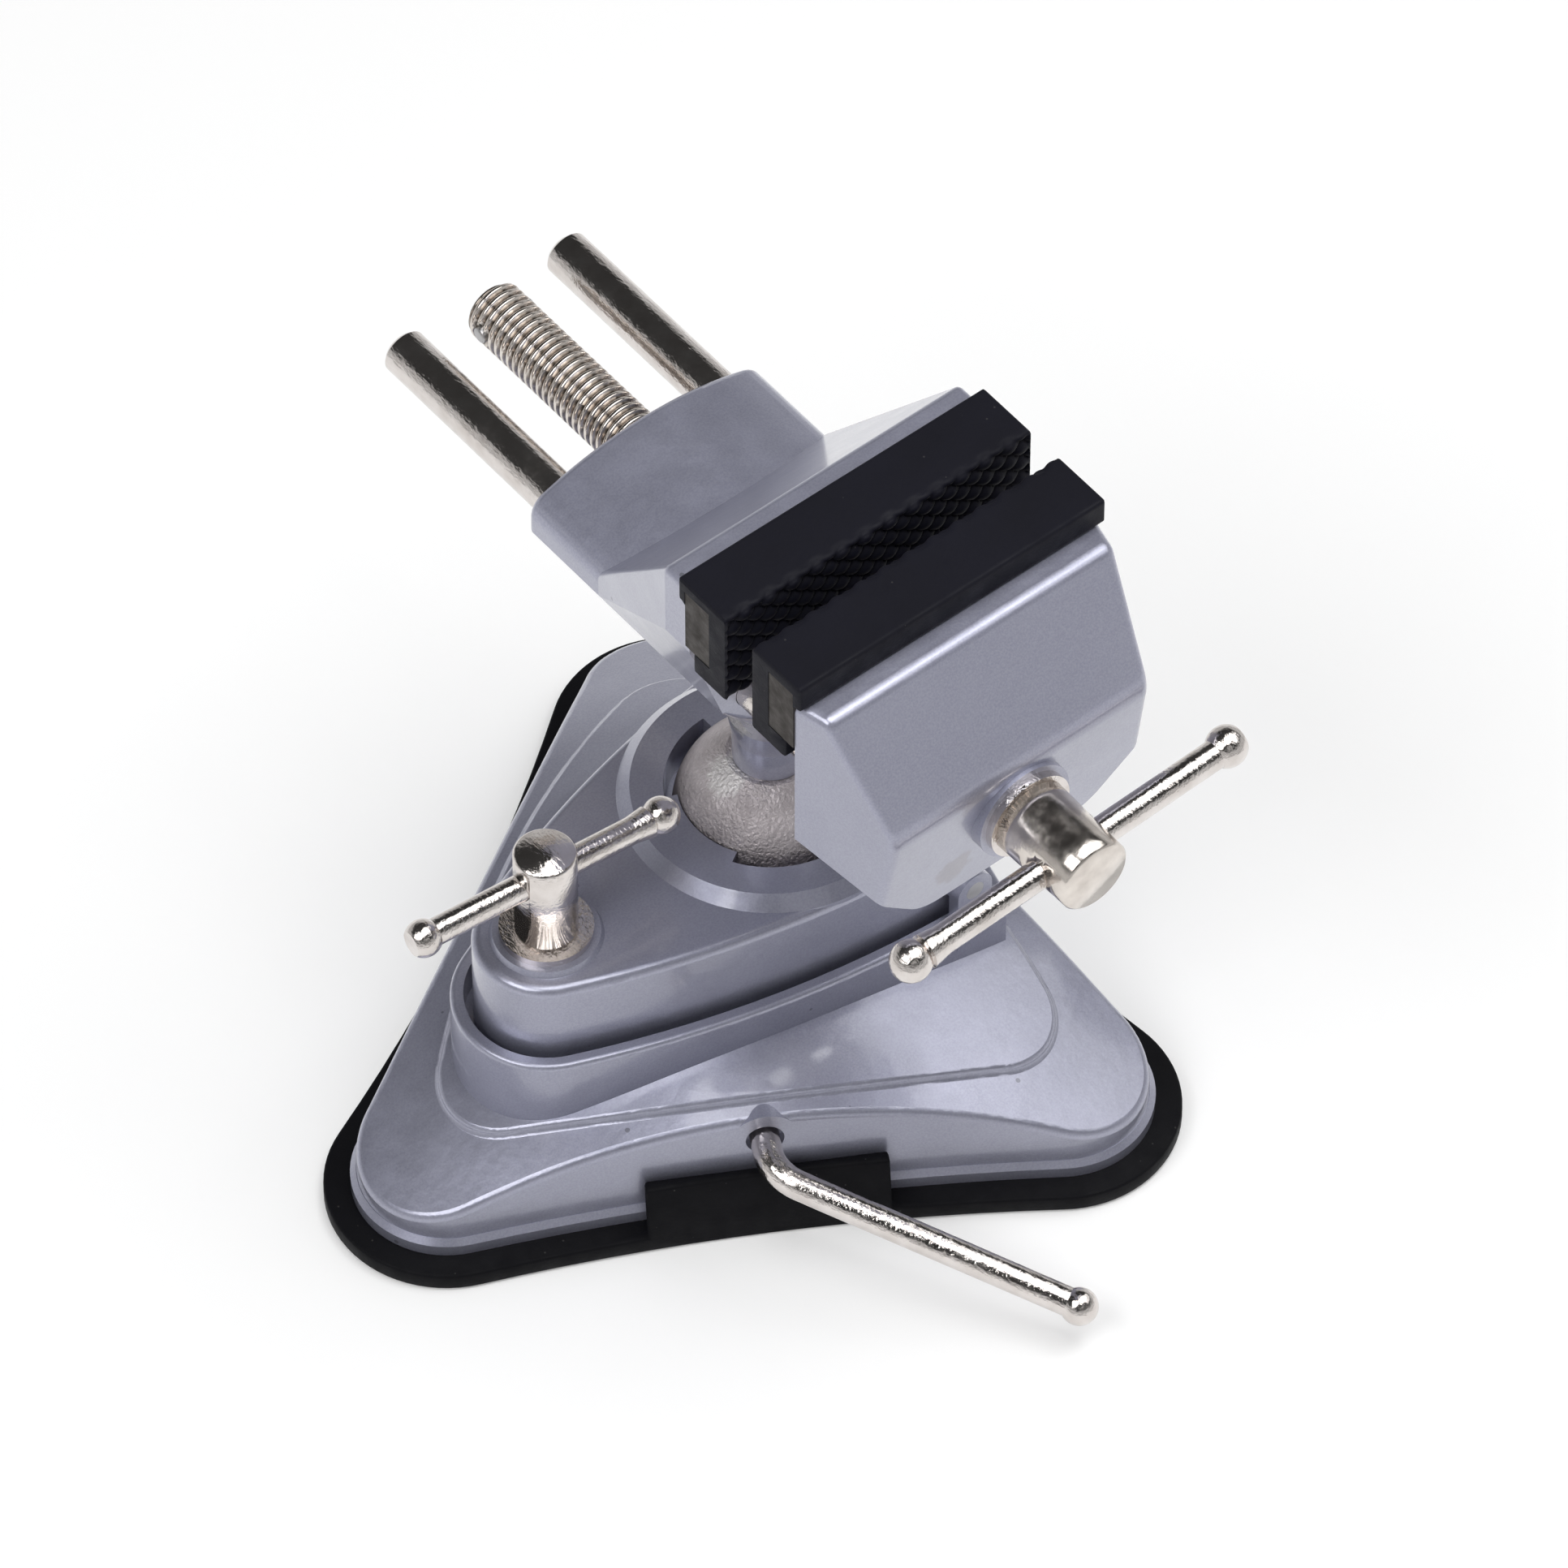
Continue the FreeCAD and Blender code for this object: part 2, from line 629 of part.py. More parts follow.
def build_base():
    block = ruled(
        "base_block",
        lobed_outline("LobeReach", "SkirtTipRadius - SkirtProud", "SkirtMidSide - SkirtProud",
                      "PadThickness"),
        lobed_outline("LobeReach", "SkirtTipRadius - SkirtProud - BaseDraft",
                      "SkirtMidSide - SkirtProud - BaseDraft", "RimHeight"),
    )
    skirt = ruled(
        "base_skirt",
        lobed_outline("LobeReach", "SkirtTipRadius", "SkirtMidSide", "PadThickness"),
        lobed_outline("LobeReach", "SkirtTipRadius", "SkirtMidSide",
                      "PadThickness + SkirtHeight - SkirtProud"),
        lobed_outline("LobeReach", "SkirtTipRadius - SkirtProud", "SkirtMidSide - SkirtProud",
                      "PadThickness + SkirtHeight"),
    )
    step = ruled(
        "base_step_block",
        lobed_outline("StepReach", "StepTipRadius + StepSlope", "StepMidSide + StepSlope", "PadThickness"),
        lobed_outline("StepReach", "StepTipRadius - StepSlope", "StepMidSide - StepSlope", "RimHeight"),
    )
    low = common("base_low", block, smooth_dome("base_low_dome", "StepRise"))
    high = common("base_high", step, smooth_dome("base_high_dome", "0"))
    levels = soft_top(low, high)
    rim = prism("base_rim", leaf_outline("WellGap + RimWall", "DomeTipHeight"), "RimHeight - DomeTipHeight")
    ears = []
    for name, side in (("left", "-1"), ("right", "1")):
        inner = "LeafHalfWidth + BodyGap"
        start = f"{side} * ({inner}) + ({side} - 1) / 2 * EarThickness"
        ears.append(cylinder(f"ear_{name}", "EarRadius", "EarThickness",
                             ("PivotX", start, "PivotHeight"), ALONG_Y))
        ears.append(box(f"ear_{name}_foot", "EarRadius * 2", "EarThickness", "PivotHeight - DomeInnerHeight",
                        ("PivotX - EarRadius", start, "DomeInnerHeight")))
    raised = fuse("base_raised", levels, rim)
    top = reading("RimHeight")

    def on_rim(middle, side, level):
        return abs(side.z) < SIDE_SHARE and abs(middle.z - top) < top * RING_SHARE

    outside = fuse("base_outside", soften("base_rim_edge", raised, "RimRound", on_rim), skirt, *ears)
    well = prism("base_well", leaf_outline("WellGap", "WellFloor"), "RimHeight - WellFloor + Overrun")
    cavity = common(
        "base_cavity",
        prism("base_cavity_block",
              lobed_outline("LobeReach", "SkirtTipRadius - SkirtProud - BaseWall",
                            "SkirtMidSide - SkirtProud - BaseWall", "0"), "RimHeight"),
        dome("base_cavity_dome", "BaseWall + StepRise", "RoofHeight"),
    )
    seat_boss = cylinder("seat_boss", "SeatBossRadius", "SeatBossTop - RoofHeight",
                         ("BallX", "0", "RoofHeight"))
    nut = cylinder("clamp_nut", "ClampNutRadius", "WellFloor - ClampNutFoot",
                   ("ClampX", "0", "ClampNutFoot"))
    post = lever_box("lever_post", "LeverPostNear", "LeverPostLength", "LeverPostHalfWidth",
                     "LeverPostFoot", "RoofHeight - LeverPostFoot + BaseWall / 2")
    boss = common(
        "lever_boss",
        lever_cylinder("lever_boss_rod", "LeverBossRadius",
                       "SkirtMidSide - SkirtProud - BaseWall - LeverBossLength",
                       "BaseWall + LeverBossLength"),
        block,
    )
    hollow = cut("base_hollow", outside, well, cavity)
    bossed = fuse("base_bossed", hollow, seat_boss, nut, post, boss)
    seat_bore = cylinder("seat_bore", "SeatOuterRadius + RunningFit", "BallHeight - WellFloor - RunningFit",
                         ("BallX", "0", "WellFloor + RunningFit"))
    ball_room = sphere("ball_room", "BallRadius + BodyGap", ("BallX", "0", "BallHeight"))
    shank_bore = cylinder("shank_bore", "ClampShankRadius + RunningFit", "WellFloor",
                          ("ClampX", "0", "ClampNutFoot - Overrun"))
    lever_bore = lever_cylinder("lever_bore", "LeverRadius + RunningFit", "-LeverInnerEnd - Overrun",
                                "LeverInnerEnd + SkirtMidSide + Overrun * 2")
    lever_mouth = lever_cylinder("lever_mouth", "LeverHoleRadius",
                                 "SkirtMidSide - SkirtProud - LeverHoleDepth", "LeverHoleDepth + Overrun")
    pin_bore = cylinder("pin_bore", "PivotPinRadius + PressFit",
                        "2 * (LeafHalfWidth + Overrun + EarThickness)",
                        ("PivotX", "-(LeafHalfWidth + Overrun + EarThickness)", "PivotHeight"), ALONG_Y)
    return cut("base_casting", bossed, seat_bore, ball_room, shank_bore, lever_bore, lever_mouth, pin_bore)


# Pieces on the lever's axis, which lies along -120 degrees at the lever's height

LEVER_TURN = Rotation(Vector(0, 0, 1), SIZES["LeverAngle"])
LEVER_AXIS = LEVER_TURN.multiply(ALONG_X)


def along_lever(distance, across="0"):
    return (
        f"({distance}) * cos(LeverAngle) - ({across}) * sin(LeverAngle)",
        f"({distance}) * sin(LeverAngle) + ({across}) * cos(LeverAngle)",
    )


def lever_cylinder(label, radius, start, length, raised="0"):
    x, y = along_lever(start)
    return cylinder(label, radius, length, (x, y, f"LeverHeight + {raised}"), LEVER_AXIS)


def lever_box(label, near, length, half_width, foot, height):
    """Box behind the middle, from near to near + length against the lever's direction."""
    x, y = along_lever(f"-({near} + {length})", f"-({half_width})")
    return box(label, length, f"2 * {half_width}", height, (x, y, foot), LEVER_TURN)


def build_sole():
    flange = prism("sole_flange", lobed_outline("LobeReach", "PadTipRadius", "PadMidSide", "0"),
                   "PadThickness")
    hole = cylinder("sole_hole", "MembraneRadius", "PadThickness + Overrun * 2", ("0", "0", "-Overrun"))
    x, y = along_lever("PadMidSide - TabThickness", "-TabHalfWidth")
    slab = box("tab_slab", "PadThickness + TabThickness", "TabHalfWidth * 2", "TabHeight",
               (x, y, "0"), LEVER_TURN)
    outer = prism("tab_outer", lobed_outline("LobeReach", "PadTipRadius", "PadMidSide", "0"), "TabHeight")
    tab = common("sole_tab", slab, outer)
    sole = cut("suction_pad", fuse("sole_body", flange, tab), hole)
    membrane = turned("suction_membrane", [
        ("0", "MembraneFoot + MembraneRise"),
        ("LiftPlateRadius", "MembraneFoot + MembraneRise"),
        ("MembraneRadius", "MembraneFoot"),
        ("MembraneRadius", "MembraneFoot + MembraneThickness"),
        ("LiftPlateRadius", "MembraneFoot + MembraneRise + MembraneThickness"),
        ("0", "MembraneFoot + MembraneRise + MembraneThickness"),
    ])
    return [sole, membrane]


LIFT_FOOT = "MembraneFoot + MembraneRise + MembraneThickness"


def build_lift():
    plate = cylinder("lift_plate", "LiftPlateRadius", "LiftPlateThickness", ("0", "0", LIFT_FOOT))
    bridge_foot = "LeverHeight + CamRadius - CamThrow + CamGap"
    inner = "CamRadius + CamThrow + YokeSideGap"
    height = f"{bridge_foot} + YokeWall - ({LIFT_FOOT} + LiftPlateThickness)"
    foot = f"{LIFT_FOOT} + LiftPlateThickness"
    strap = lever_box("yoke_block", "-YokeHalfWidth", "2 * YokeHalfWidth", f"({inner} + YokeWall)",
                      foot, height)
    window = lever_box("yoke_window", "-(YokeHalfWidth + Overrun)", "2 * (YokeHalfWidth + Overrun)",
                       f"({inner})", f"{foot} + YokeWall", f"{height} - 2 * YokeWall")
    yoke = cut("lift_yoke", strap, window)
    return [plate, yoke]


def build_lever():
    """The rod's two legs and its bend lie in one plane, so one sketch holds its path."""
    body = document.addObject("PartDesign::Body", "lever_rod")
    path = body.newObject("Sketcher::SketchObject", "lever_path")
    path.AttachmentSupport = [(plane_of(body, "XY_Plane"), "")]
    path.MapMode = "FlatFace"
    out = reading("LeverArmOut")
    across = reading("LeverArmAcross")
    elbow = reading("LeverElbow")
    bend = reading("LeverBendRadius")
    turn = math.atan2(across, out)
    setback = bend * math.tan(turn / 2)
    start = Vector(-reading("LeverInnerEnd"), 0, 0)
    enter = Vector(elbow - setback, 0, 0)
    centre = Vector(elbow - setback, bend, 0)
    leave = Vector(elbow + setback * math.cos(turn), setback * math.sin(turn), 0)
    middle = centre + Vector(math.sin(turn / 2), -math.cos(turn / 2), 0) * bend
    tip = Vector(elbow + out, across, 0)
    path.addGeometry(Part.LineSegment(start, enter), False)
    path.addGeometry(Part.Arc(enter, middle, leave), False)
    path.addGeometry(Part.LineSegment(leave, tip), False)
    path.addConstraint(Sketcher.Constraint("Tangent", 0, 2, 1, 1))
    path.addConstraint(Sketcher.Constraint("Tangent", 1, 2, 2, 1))
    path.addConstraint(Sketcher.Constraint("Horizontal", 0))
    path.addConstraint(Sketcher.Constraint("PointOnObject", 0, 1, -1))
    for kind, edge, end, expression in (
        ("DistanceX", 0, 1, "-LeverInnerEnd"),
        ("DistanceX", 2, 2, "LeverElbow + LeverArmOut"),
        ("DistanceY", 2, 2, "LeverArmAcross"),
    ):
        index = path.addConstraint(Sketcher.Constraint(kind, -1, 1, edge, end, reading(expression)))
        path.setExpression(f"Constraints[{index}]", bound(expression))
    index = path.addConstraint(Sketcher.Constraint("Radius", 1, bend))
    path.setExpression(f"Constraints[{index}]", bound("LeverBendRadius"))
    index = path.addConstraint(Sketcher.Constraint("Angle", 2, turn))
    path.setExpression(f"Constraints[{index}]", bound("atan2(LeverArmAcross; LeverArmOut)"))
    section = body.newObject("Sketcher::SketchObject", "lever_section")
    section.AttachmentSupport = [(plane_of(body, "YZ_Plane"), "")]
    section.MapMode = "FlatFace"
    follow(section, **{"AttachmentOffset.Base.z": "-LeverInnerEnd"})
    section.addGeometry(Part.Circle(Vector(), Vector(0, 0, 1), reading("LeverRadius")), False)
    section.addConstraint(Sketcher.Constraint("Coincident", 0, 3, -1, 1))
    index = section.addConstraint(Sketcher.Constraint("Radius", 0, reading("LeverRadius")))
    section.setExpression(f"Constraints[{index}]", bound("LeverRadius"))
    document.recompute()
    pipe = body.newObject("PartDesign::AdditivePipe", "lever_pipe")
    pipe.Profile = section
    pipe.Spine = (path, ["Edge1", "Edge2", "Edge3"])
    turned_about = LEVER_TURN.multiply(Rotation(Vector(1, 0, 0), SIZES["LeverArmAngle"]))
    place(body, ("0", "0", "LeverHeight"), turned_about)
    x, y = along_lever("LeverElbow + LeverArmOut", "LeverArmAcross * cos(LeverArmAngle)")
    knob = sphere("lever_knob", "LeverBallRadius",
                  (x, y, "LeverHeight + LeverArmAcross * sin(LeverArmAngle)"))
    lever = fuse("suction_lever", body, knob)
    cam = cut(
        "lever_cam",
        lever_cylinder("cam_disc", "CamRadius", "-CamHalfWidth", "CamHalfWidth * 2", "-CamThrow"),
        lever_cylinder("cam_bore", "LeverRadius + PressFit", "-CamHalfWidth - Overrun",
                       "CamHalfWidth * 2 + Overrun * 2"),
    )
    clip_start = "-(LeverPostNear + LeverPostLength + BodyGap + ClipThickness)"
    clip = cut(
        "lever_clip",
        lever_cylinder("clip_disc", "ClipRadius", clip_start, "ClipThickness"),
        lever_cylinder("clip_bore", "LeverRadius + PressFit", f"{clip_start} - Overrun",
                       "ClipThickness + Overrun * 2"),
    )
    return [lever, cam, clip]


# Ball clamp

def build_clamp_plate():
    bulge = "(LeafEndX + BallX + CollarFoot) / 2"
    leaf = prism("leaf_block", leaf_outline("0", "LeafBottom", bulge), "LeafTop - LeafBottom")
    leaf_top = reading("LeafTop")

    def leaf_edge(middle, side, top):
        return abs(side.z) < SIDE_SHARE and abs(middle.z - leaf_top) < leaf_top * RING_SHARE

    soft_leaf = soften("leaf_edge", leaf, "LeafRound", leaf_edge)
    collar = turned("leaf_collar", [
        ("0", "LeafBottom"),
        ("CollarFoot", "LeafBottom"),
        ("CollarFoot", "LeafTop"),
        ("CollarRadius + CollarRound", "CollarTop - CollarRound"),
        ("CollarRadius", "CollarTop"),
        ("0", "CollarTop"),
    ], ("BallX", "0", "0"))
    boss = cone("leaf_boss", "ClampBossRadius + ClampBossHeight / 2", "ClampBossRadius", "ClampBossHeight",
                ("ClampX", "0", "LeafTop"))
    hollow = prism("leaf_hollow", leaf_outline("-LeafWall", "LeafBottom - Overrun", bulge),
                   "LeafTop - LeafDeck - LeafBottom + Overrun")
    pillar = cylinder("leaf_pillar", "ClampHoleRadius + LeafWall", "LeafTop - LeafBottom",
                      ("ClampX", "0", "LeafBottom"))
    barrel = cylinder("leaf_barrel", "NotchRadius + LeafWall", "LeafTop - LeafBottom",
                      ("BallX", "0", "LeafBottom"))
    lugs = []
    for name, side in (("left", "-1"), ("right", "1")):
        lugs.append(cylinder(f"lug_{name}", "PivotPinRadius + LeafWall / 2", "PivotPinLength",
                             ("PivotX", f"{side} * LeafHalfWidth - ({side} + 1) / 2 * PivotPinLength",
                              "PivotHeight"), ALONG_Y))
    lug_group = common("leaf_lugs", fuse("leaf_lug_pair", *lugs), leaf)
    shell = cut("leaf_shell", fuse("leaf_outside", soft_leaf, collar, boss), hollow)
    full = fuse("leaf_full", shell, pillar, barrel, lug_group)
    socket = turned("leaf_socket", [
        ("0", "LeafBottom - Overrun"),
        ("BallRadius + BodyGap", "LeafBottom - Overrun"),
        ("BallRadius + BodyGap", "BallHeight"),
        ("0", "BallHeight"),
    ], ("BallX", "0", "0"))
    ball_room = sphere("leaf_ball_room", "BallRadius + BodyGap", ("BallX", "0", "BallHeight"))
    notches = []
    for number, heading in enumerate((-120, 0, 120), start=1):
        notch = cylinder(f"notch_{number}", "NotchRadius", "NotchDepth + Overrun",
                         ("BallX", "0", "CollarTop - NotchDepth"))
        follow(notch, Angle="NotchAngle")
        notch.Placement = Placement(Vector(), Rotation(Vector(0, 0, 1), heading - SIZES["NotchAngle"] / 2))
        notches.append(notch)
    hole = cylinder("leaf_screw_hole", "ClampHoleRadius", "CollarTop",
                    ("ClampX", "0", "LeafBottom - Overrun"))
    bore = cylinder("leaf_pin_bore", "PivotPinRadius + RunningFit", "2 * (LeafHalfWidth + Overrun)",
                    ("PivotX", "-(LeafHalfWidth + Overrun)", "PivotHeight"), ALONG_Y)
    bore_room = box("leaf_bore_room", "EarRadius * 2", "2 * (LeafHalfWidth - PivotPinLength)",
                    "EarRadius * 2",
                    ("PivotX - EarRadius", "-(LeafHalfWidth - PivotPinLength)", "PivotHeight - EarRadius"))
    ends = cut("leaf_pin_bores", bore, bore_room)
    plate = cut("clamp_plate", full, socket, ball_room, hole, ends, *notches)
    pins = fuse("clamp_pivot_pins", *[
        cylinder(f"pivot_pin_{name}", "PivotPinRadius", "PivotPinLength",
                 ("PivotX",
                  f"{side} * (LeafHalfWidth + BodyGap + EarThickness) - ({side} + 1) / 2 * PivotPinLength",
                  "PivotHeight"), ALONG_Y)
        for name, side in (("left", "-1"), ("right", "1"))
    ])
    return [plate, pins]


def cross_bar(label, radius, ball_radius, half, cap_label, at, turn, shift):
    """Bar with a turned ball at one end, and a pressed-on cap at the other."""
    bar = document.addObject("Part::Cylinder", f"{label}_rod")
    follow(bar, Radius=radius, Height=f"2 * {half}")
    knob = document.addObject("Part::Sphere", f"{label}_knob")
    follow(knob, Radius=ball_radius)
    cap = document.addObject("Part::Sphere", f"{cap_label}_ball")
    follow(cap, Radius=ball_radius, Angle2="CapFlatAngle")
    neck = document.addObject("Part::Cone", f"{label}_neck")
    follow(neck, Radius1=f"({radius} + {ball_radius}) / 2", Radius2=radius, Height=ball_radius)
    cap_bore = document.addObject("Part::Cylinder", f"{cap_label}_bore")
    follow(cap_bore, Radius=radius, Height=f"2 * {half}")
    spots = {bar: f"{shift} - {half}", knob: f"{shift} - {half}", cap: f"{shift} + {half}",
             neck: f"{shift} - {half} + {ball_radius} * BarNeckShare", cap_bore: f"{shift} - {half}"}
    along = turn.multVec(Vector(0, 0, 1))
    for item, distance in spots.items():
        item.Placement = Placement(Vector(), turn)
        for axis, name in enumerate("xyz"):
            expression = f"{at[axis]} + ({distance}) * {along[axis]:.12f}"
            item.setExpression(f"Placement.Base.{name}", bound(expression))
    whole = fuse(label, bar, knob, neck)
    ring = cut(cap_label, cap, cap_bore)
    return [whole, ring]


def build_clamp_screw():
    washer_foot = "LeafTop + ClampBossHeight"
    hub_foot = f"{washer_foot} + ClampWasherThickness"
    screw = turned("clamp_screw_blank", [
        ("0", "ClampShankTip"),
        ("ClampShankRadius - RodChamfer", "ClampShankTip"),
        ("ClampShankRadius", "ClampShankTip + RodChamfer"),
        ("ClampShankRadius", hub_foot),
        ("ClampHubRadius", hub_foot),
        ("ClampHubRadius", "ClampHubTop - HubChamfer"),
        ("ClampHubRadius - HubChamfer", "ClampHubTop"),
        ("0", "ClampHubTop"),
    ], ("ClampX", "0", "0"))
    washer = turned("clamp_screw_washer", [
        ("ClampShankRadius + RunningFit", washer_foot),
        ("ClampWasherRadius", washer_foot),
        ("ClampWasherRadius", hub_foot),
        ("ClampShankRadius + RunningFit", hub_foot),
    ], ("ClampX", "0", "0"))
    bar_turn = Rotation(Vector(0, 0, 1), SIZES["ClampBarHeading"]).multiply(ALONG_X)
    along = bar_turn.multVec(Vector(0, 0, 1))
    bore = document.addObject("Part::Cylinder", "clamp_bar_bore")
    follow(bore, Radius="ClampBarRadius + RunningFit", Height="4 * ClampHubRadius")
    bore.Placement = Placement(Vector(), bar_turn)
    for axis, (name, start) in enumerate(zip("xyz", ("ClampX", "0", "ClampBarHeight"))):
        bore.setExpression(f"Placement.Base.{name}",
                           bound(f"{start} - 2 * ClampHubRadius * {along[axis]:.12f}"))
    bored = cut("clamp_screw", screw, bore)
    bars = cross_bar("clamp_bar", "ClampBarRadius", "ClampBarBallRadius", "ClampBarHalf", "clamp_bar_cap",
                     ("ClampX", "0", "ClampBarHeight"), bar_turn, "ClampBarShift")
    return [bored, washer] + bars


# Ball joint

def build_ball():
    seat = cut(
        "ball_seat",
        turned("seat_ring", [
            ("SeatInnerRadius", "WellFloor + RunningFit"),
            ("SeatOuterRadius", "WellFloor + RunningFit"),
            ("SeatOuterRadius", "SeatBossTop"),
            ("SeatInnerRadius", "SeatBossTop"),
        ], ("BallX", "0", "0")),
        sphere("seat_ball_room", "BallRadius + RunningFit", ("BallX", "0", "BallHeight")),
    )
    head_foot = "BallHeight - BallScrewHeadDepth - BallScrewHeadHeight"
    ball = cut(
        "ball",
        sphere("ball_blank", "BallRadius", ("BallX", "0", "BallHeight")),
        box("ball_flat_cut", "4 * BallRadius", "4 * BallRadius", "BallRadius",
            ("BallX - 2 * BallRadius", "-2 * BallRadius", "BallHeight + BallFlat")),
        turned("ball_bore", [
            ("0", "BallHeight - BallRadius - Overrun"),
            ("BallScrewHeadRadius + PressFit", "BallHeight - BallRadius - Overrun"),
            ("BallScrewHeadRadius + PressFit", "BallHeight - BallScrewHeadDepth"),
            ("BallScrewRadius + PressFit", "BallHeight - BallScrewHeadDepth"),
            ("BallScrewRadius + PressFit", "BallHeight + BallRadius + Overrun"),
            ("0", "BallHeight + BallRadius + Overrun"),
        ], ("BallX", "0", "0")),
    )
    screw = turned("ball_screw", [
        ("0", f"{head_foot} + BallScrewHeadHeight / 2"),
        ("HexSocketRadius", f"{head_foot} + BallScrewHeadHeight / 2"),
        ("HexSocketRadius", head_foot),
        ("BallScrewHeadRadius", head_foot),
        ("BallScrewHeadRadius", "BallHeight - BallScrewHeadDepth"),
        ("BallScrewRadius", "BallHeight - BallScrewHeadDepth"),
        ("BallScrewRadius", "BallHeight - BallScrewHeadDepth + BallScrewLength"),
        ("0", "BallHeight - BallScrewHeadDepth + BallScrewLength"),
    ], ("BallX", "0", "0"))
    return [seat, ball, screw]


# Jaws

def rounded_wire(corners, rounds):
    """Closed wire through 3-D corners in one plane, with an arc of its own radius at each."""
    count = len(corners)
    points = []
    for index, corner in enumerate(corners):
        before = corners[index - 1] - corner
        after = corners[(index + 1) % count] - corner
        half = before.getAngle(after) / 2
        before.normalize()
        after.normalize()
        setback = rounds[index] / math.tan(half)
        bisector = before + after
        bisector.normalize()
        centre = corner + bisector * (rounds[index] / math.sin(half))
        points.append((corner + before * setback, centre - bisector * rounds[index],
                       corner + after * setback))
    edges = []
    for index, (enter, middle, leave) in enumerate(points):
        edges.append(arc(enter, middle, leave))
        edges.append(Part.LineSegment(leave, points[(index + 1) % count][0]).toShape())
    return Part.Wire(edges)


def jaw_section(half, front, rear, height, front_round, rear_round):
    """Rounded four-sided section of the rear jaw's underside."""
    x = reading("BallX")
    half = reading(half)
    corners = [
        Vector(x - half, reading(rear), reading(height)),
        Vector(x - half, reading(front), reading(height)),
        Vector(x + half, reading(front), reading(height)),
        Vector(x + half, reading(rear), reading(height)),
    ]
    rounds = (rear_round, front_round, front_round, rear_round)
    return rounded_wire(corners, [reading(size) for size in rounds])


# Rows from the top of the rear jaw's underside down to its neck. Each holds its drop, half width,
# front reach, rear reach, front corner radius and rear corner radius as shares of full sizes.
BOWL_SHARES = [
    (0, 1, 1, 1, 0.02, 0.06),
    (0.14, 0.87, 0.99, 0.985, 0.12, 0.22),
    (0.36, 0.675, 0.92, 0.76, 0.3, 0.36),
    (0.57, 0.485, 0.73, 0.52, 0.38, 0.4),
    (0.74, 0.34, 0.53, 0.33, 0.31, 0.31),
    (0.88, 0.285, 0.4, 0.22, 0.26, 0.26),
]
NECK_CORNER_SHARE = 0.95


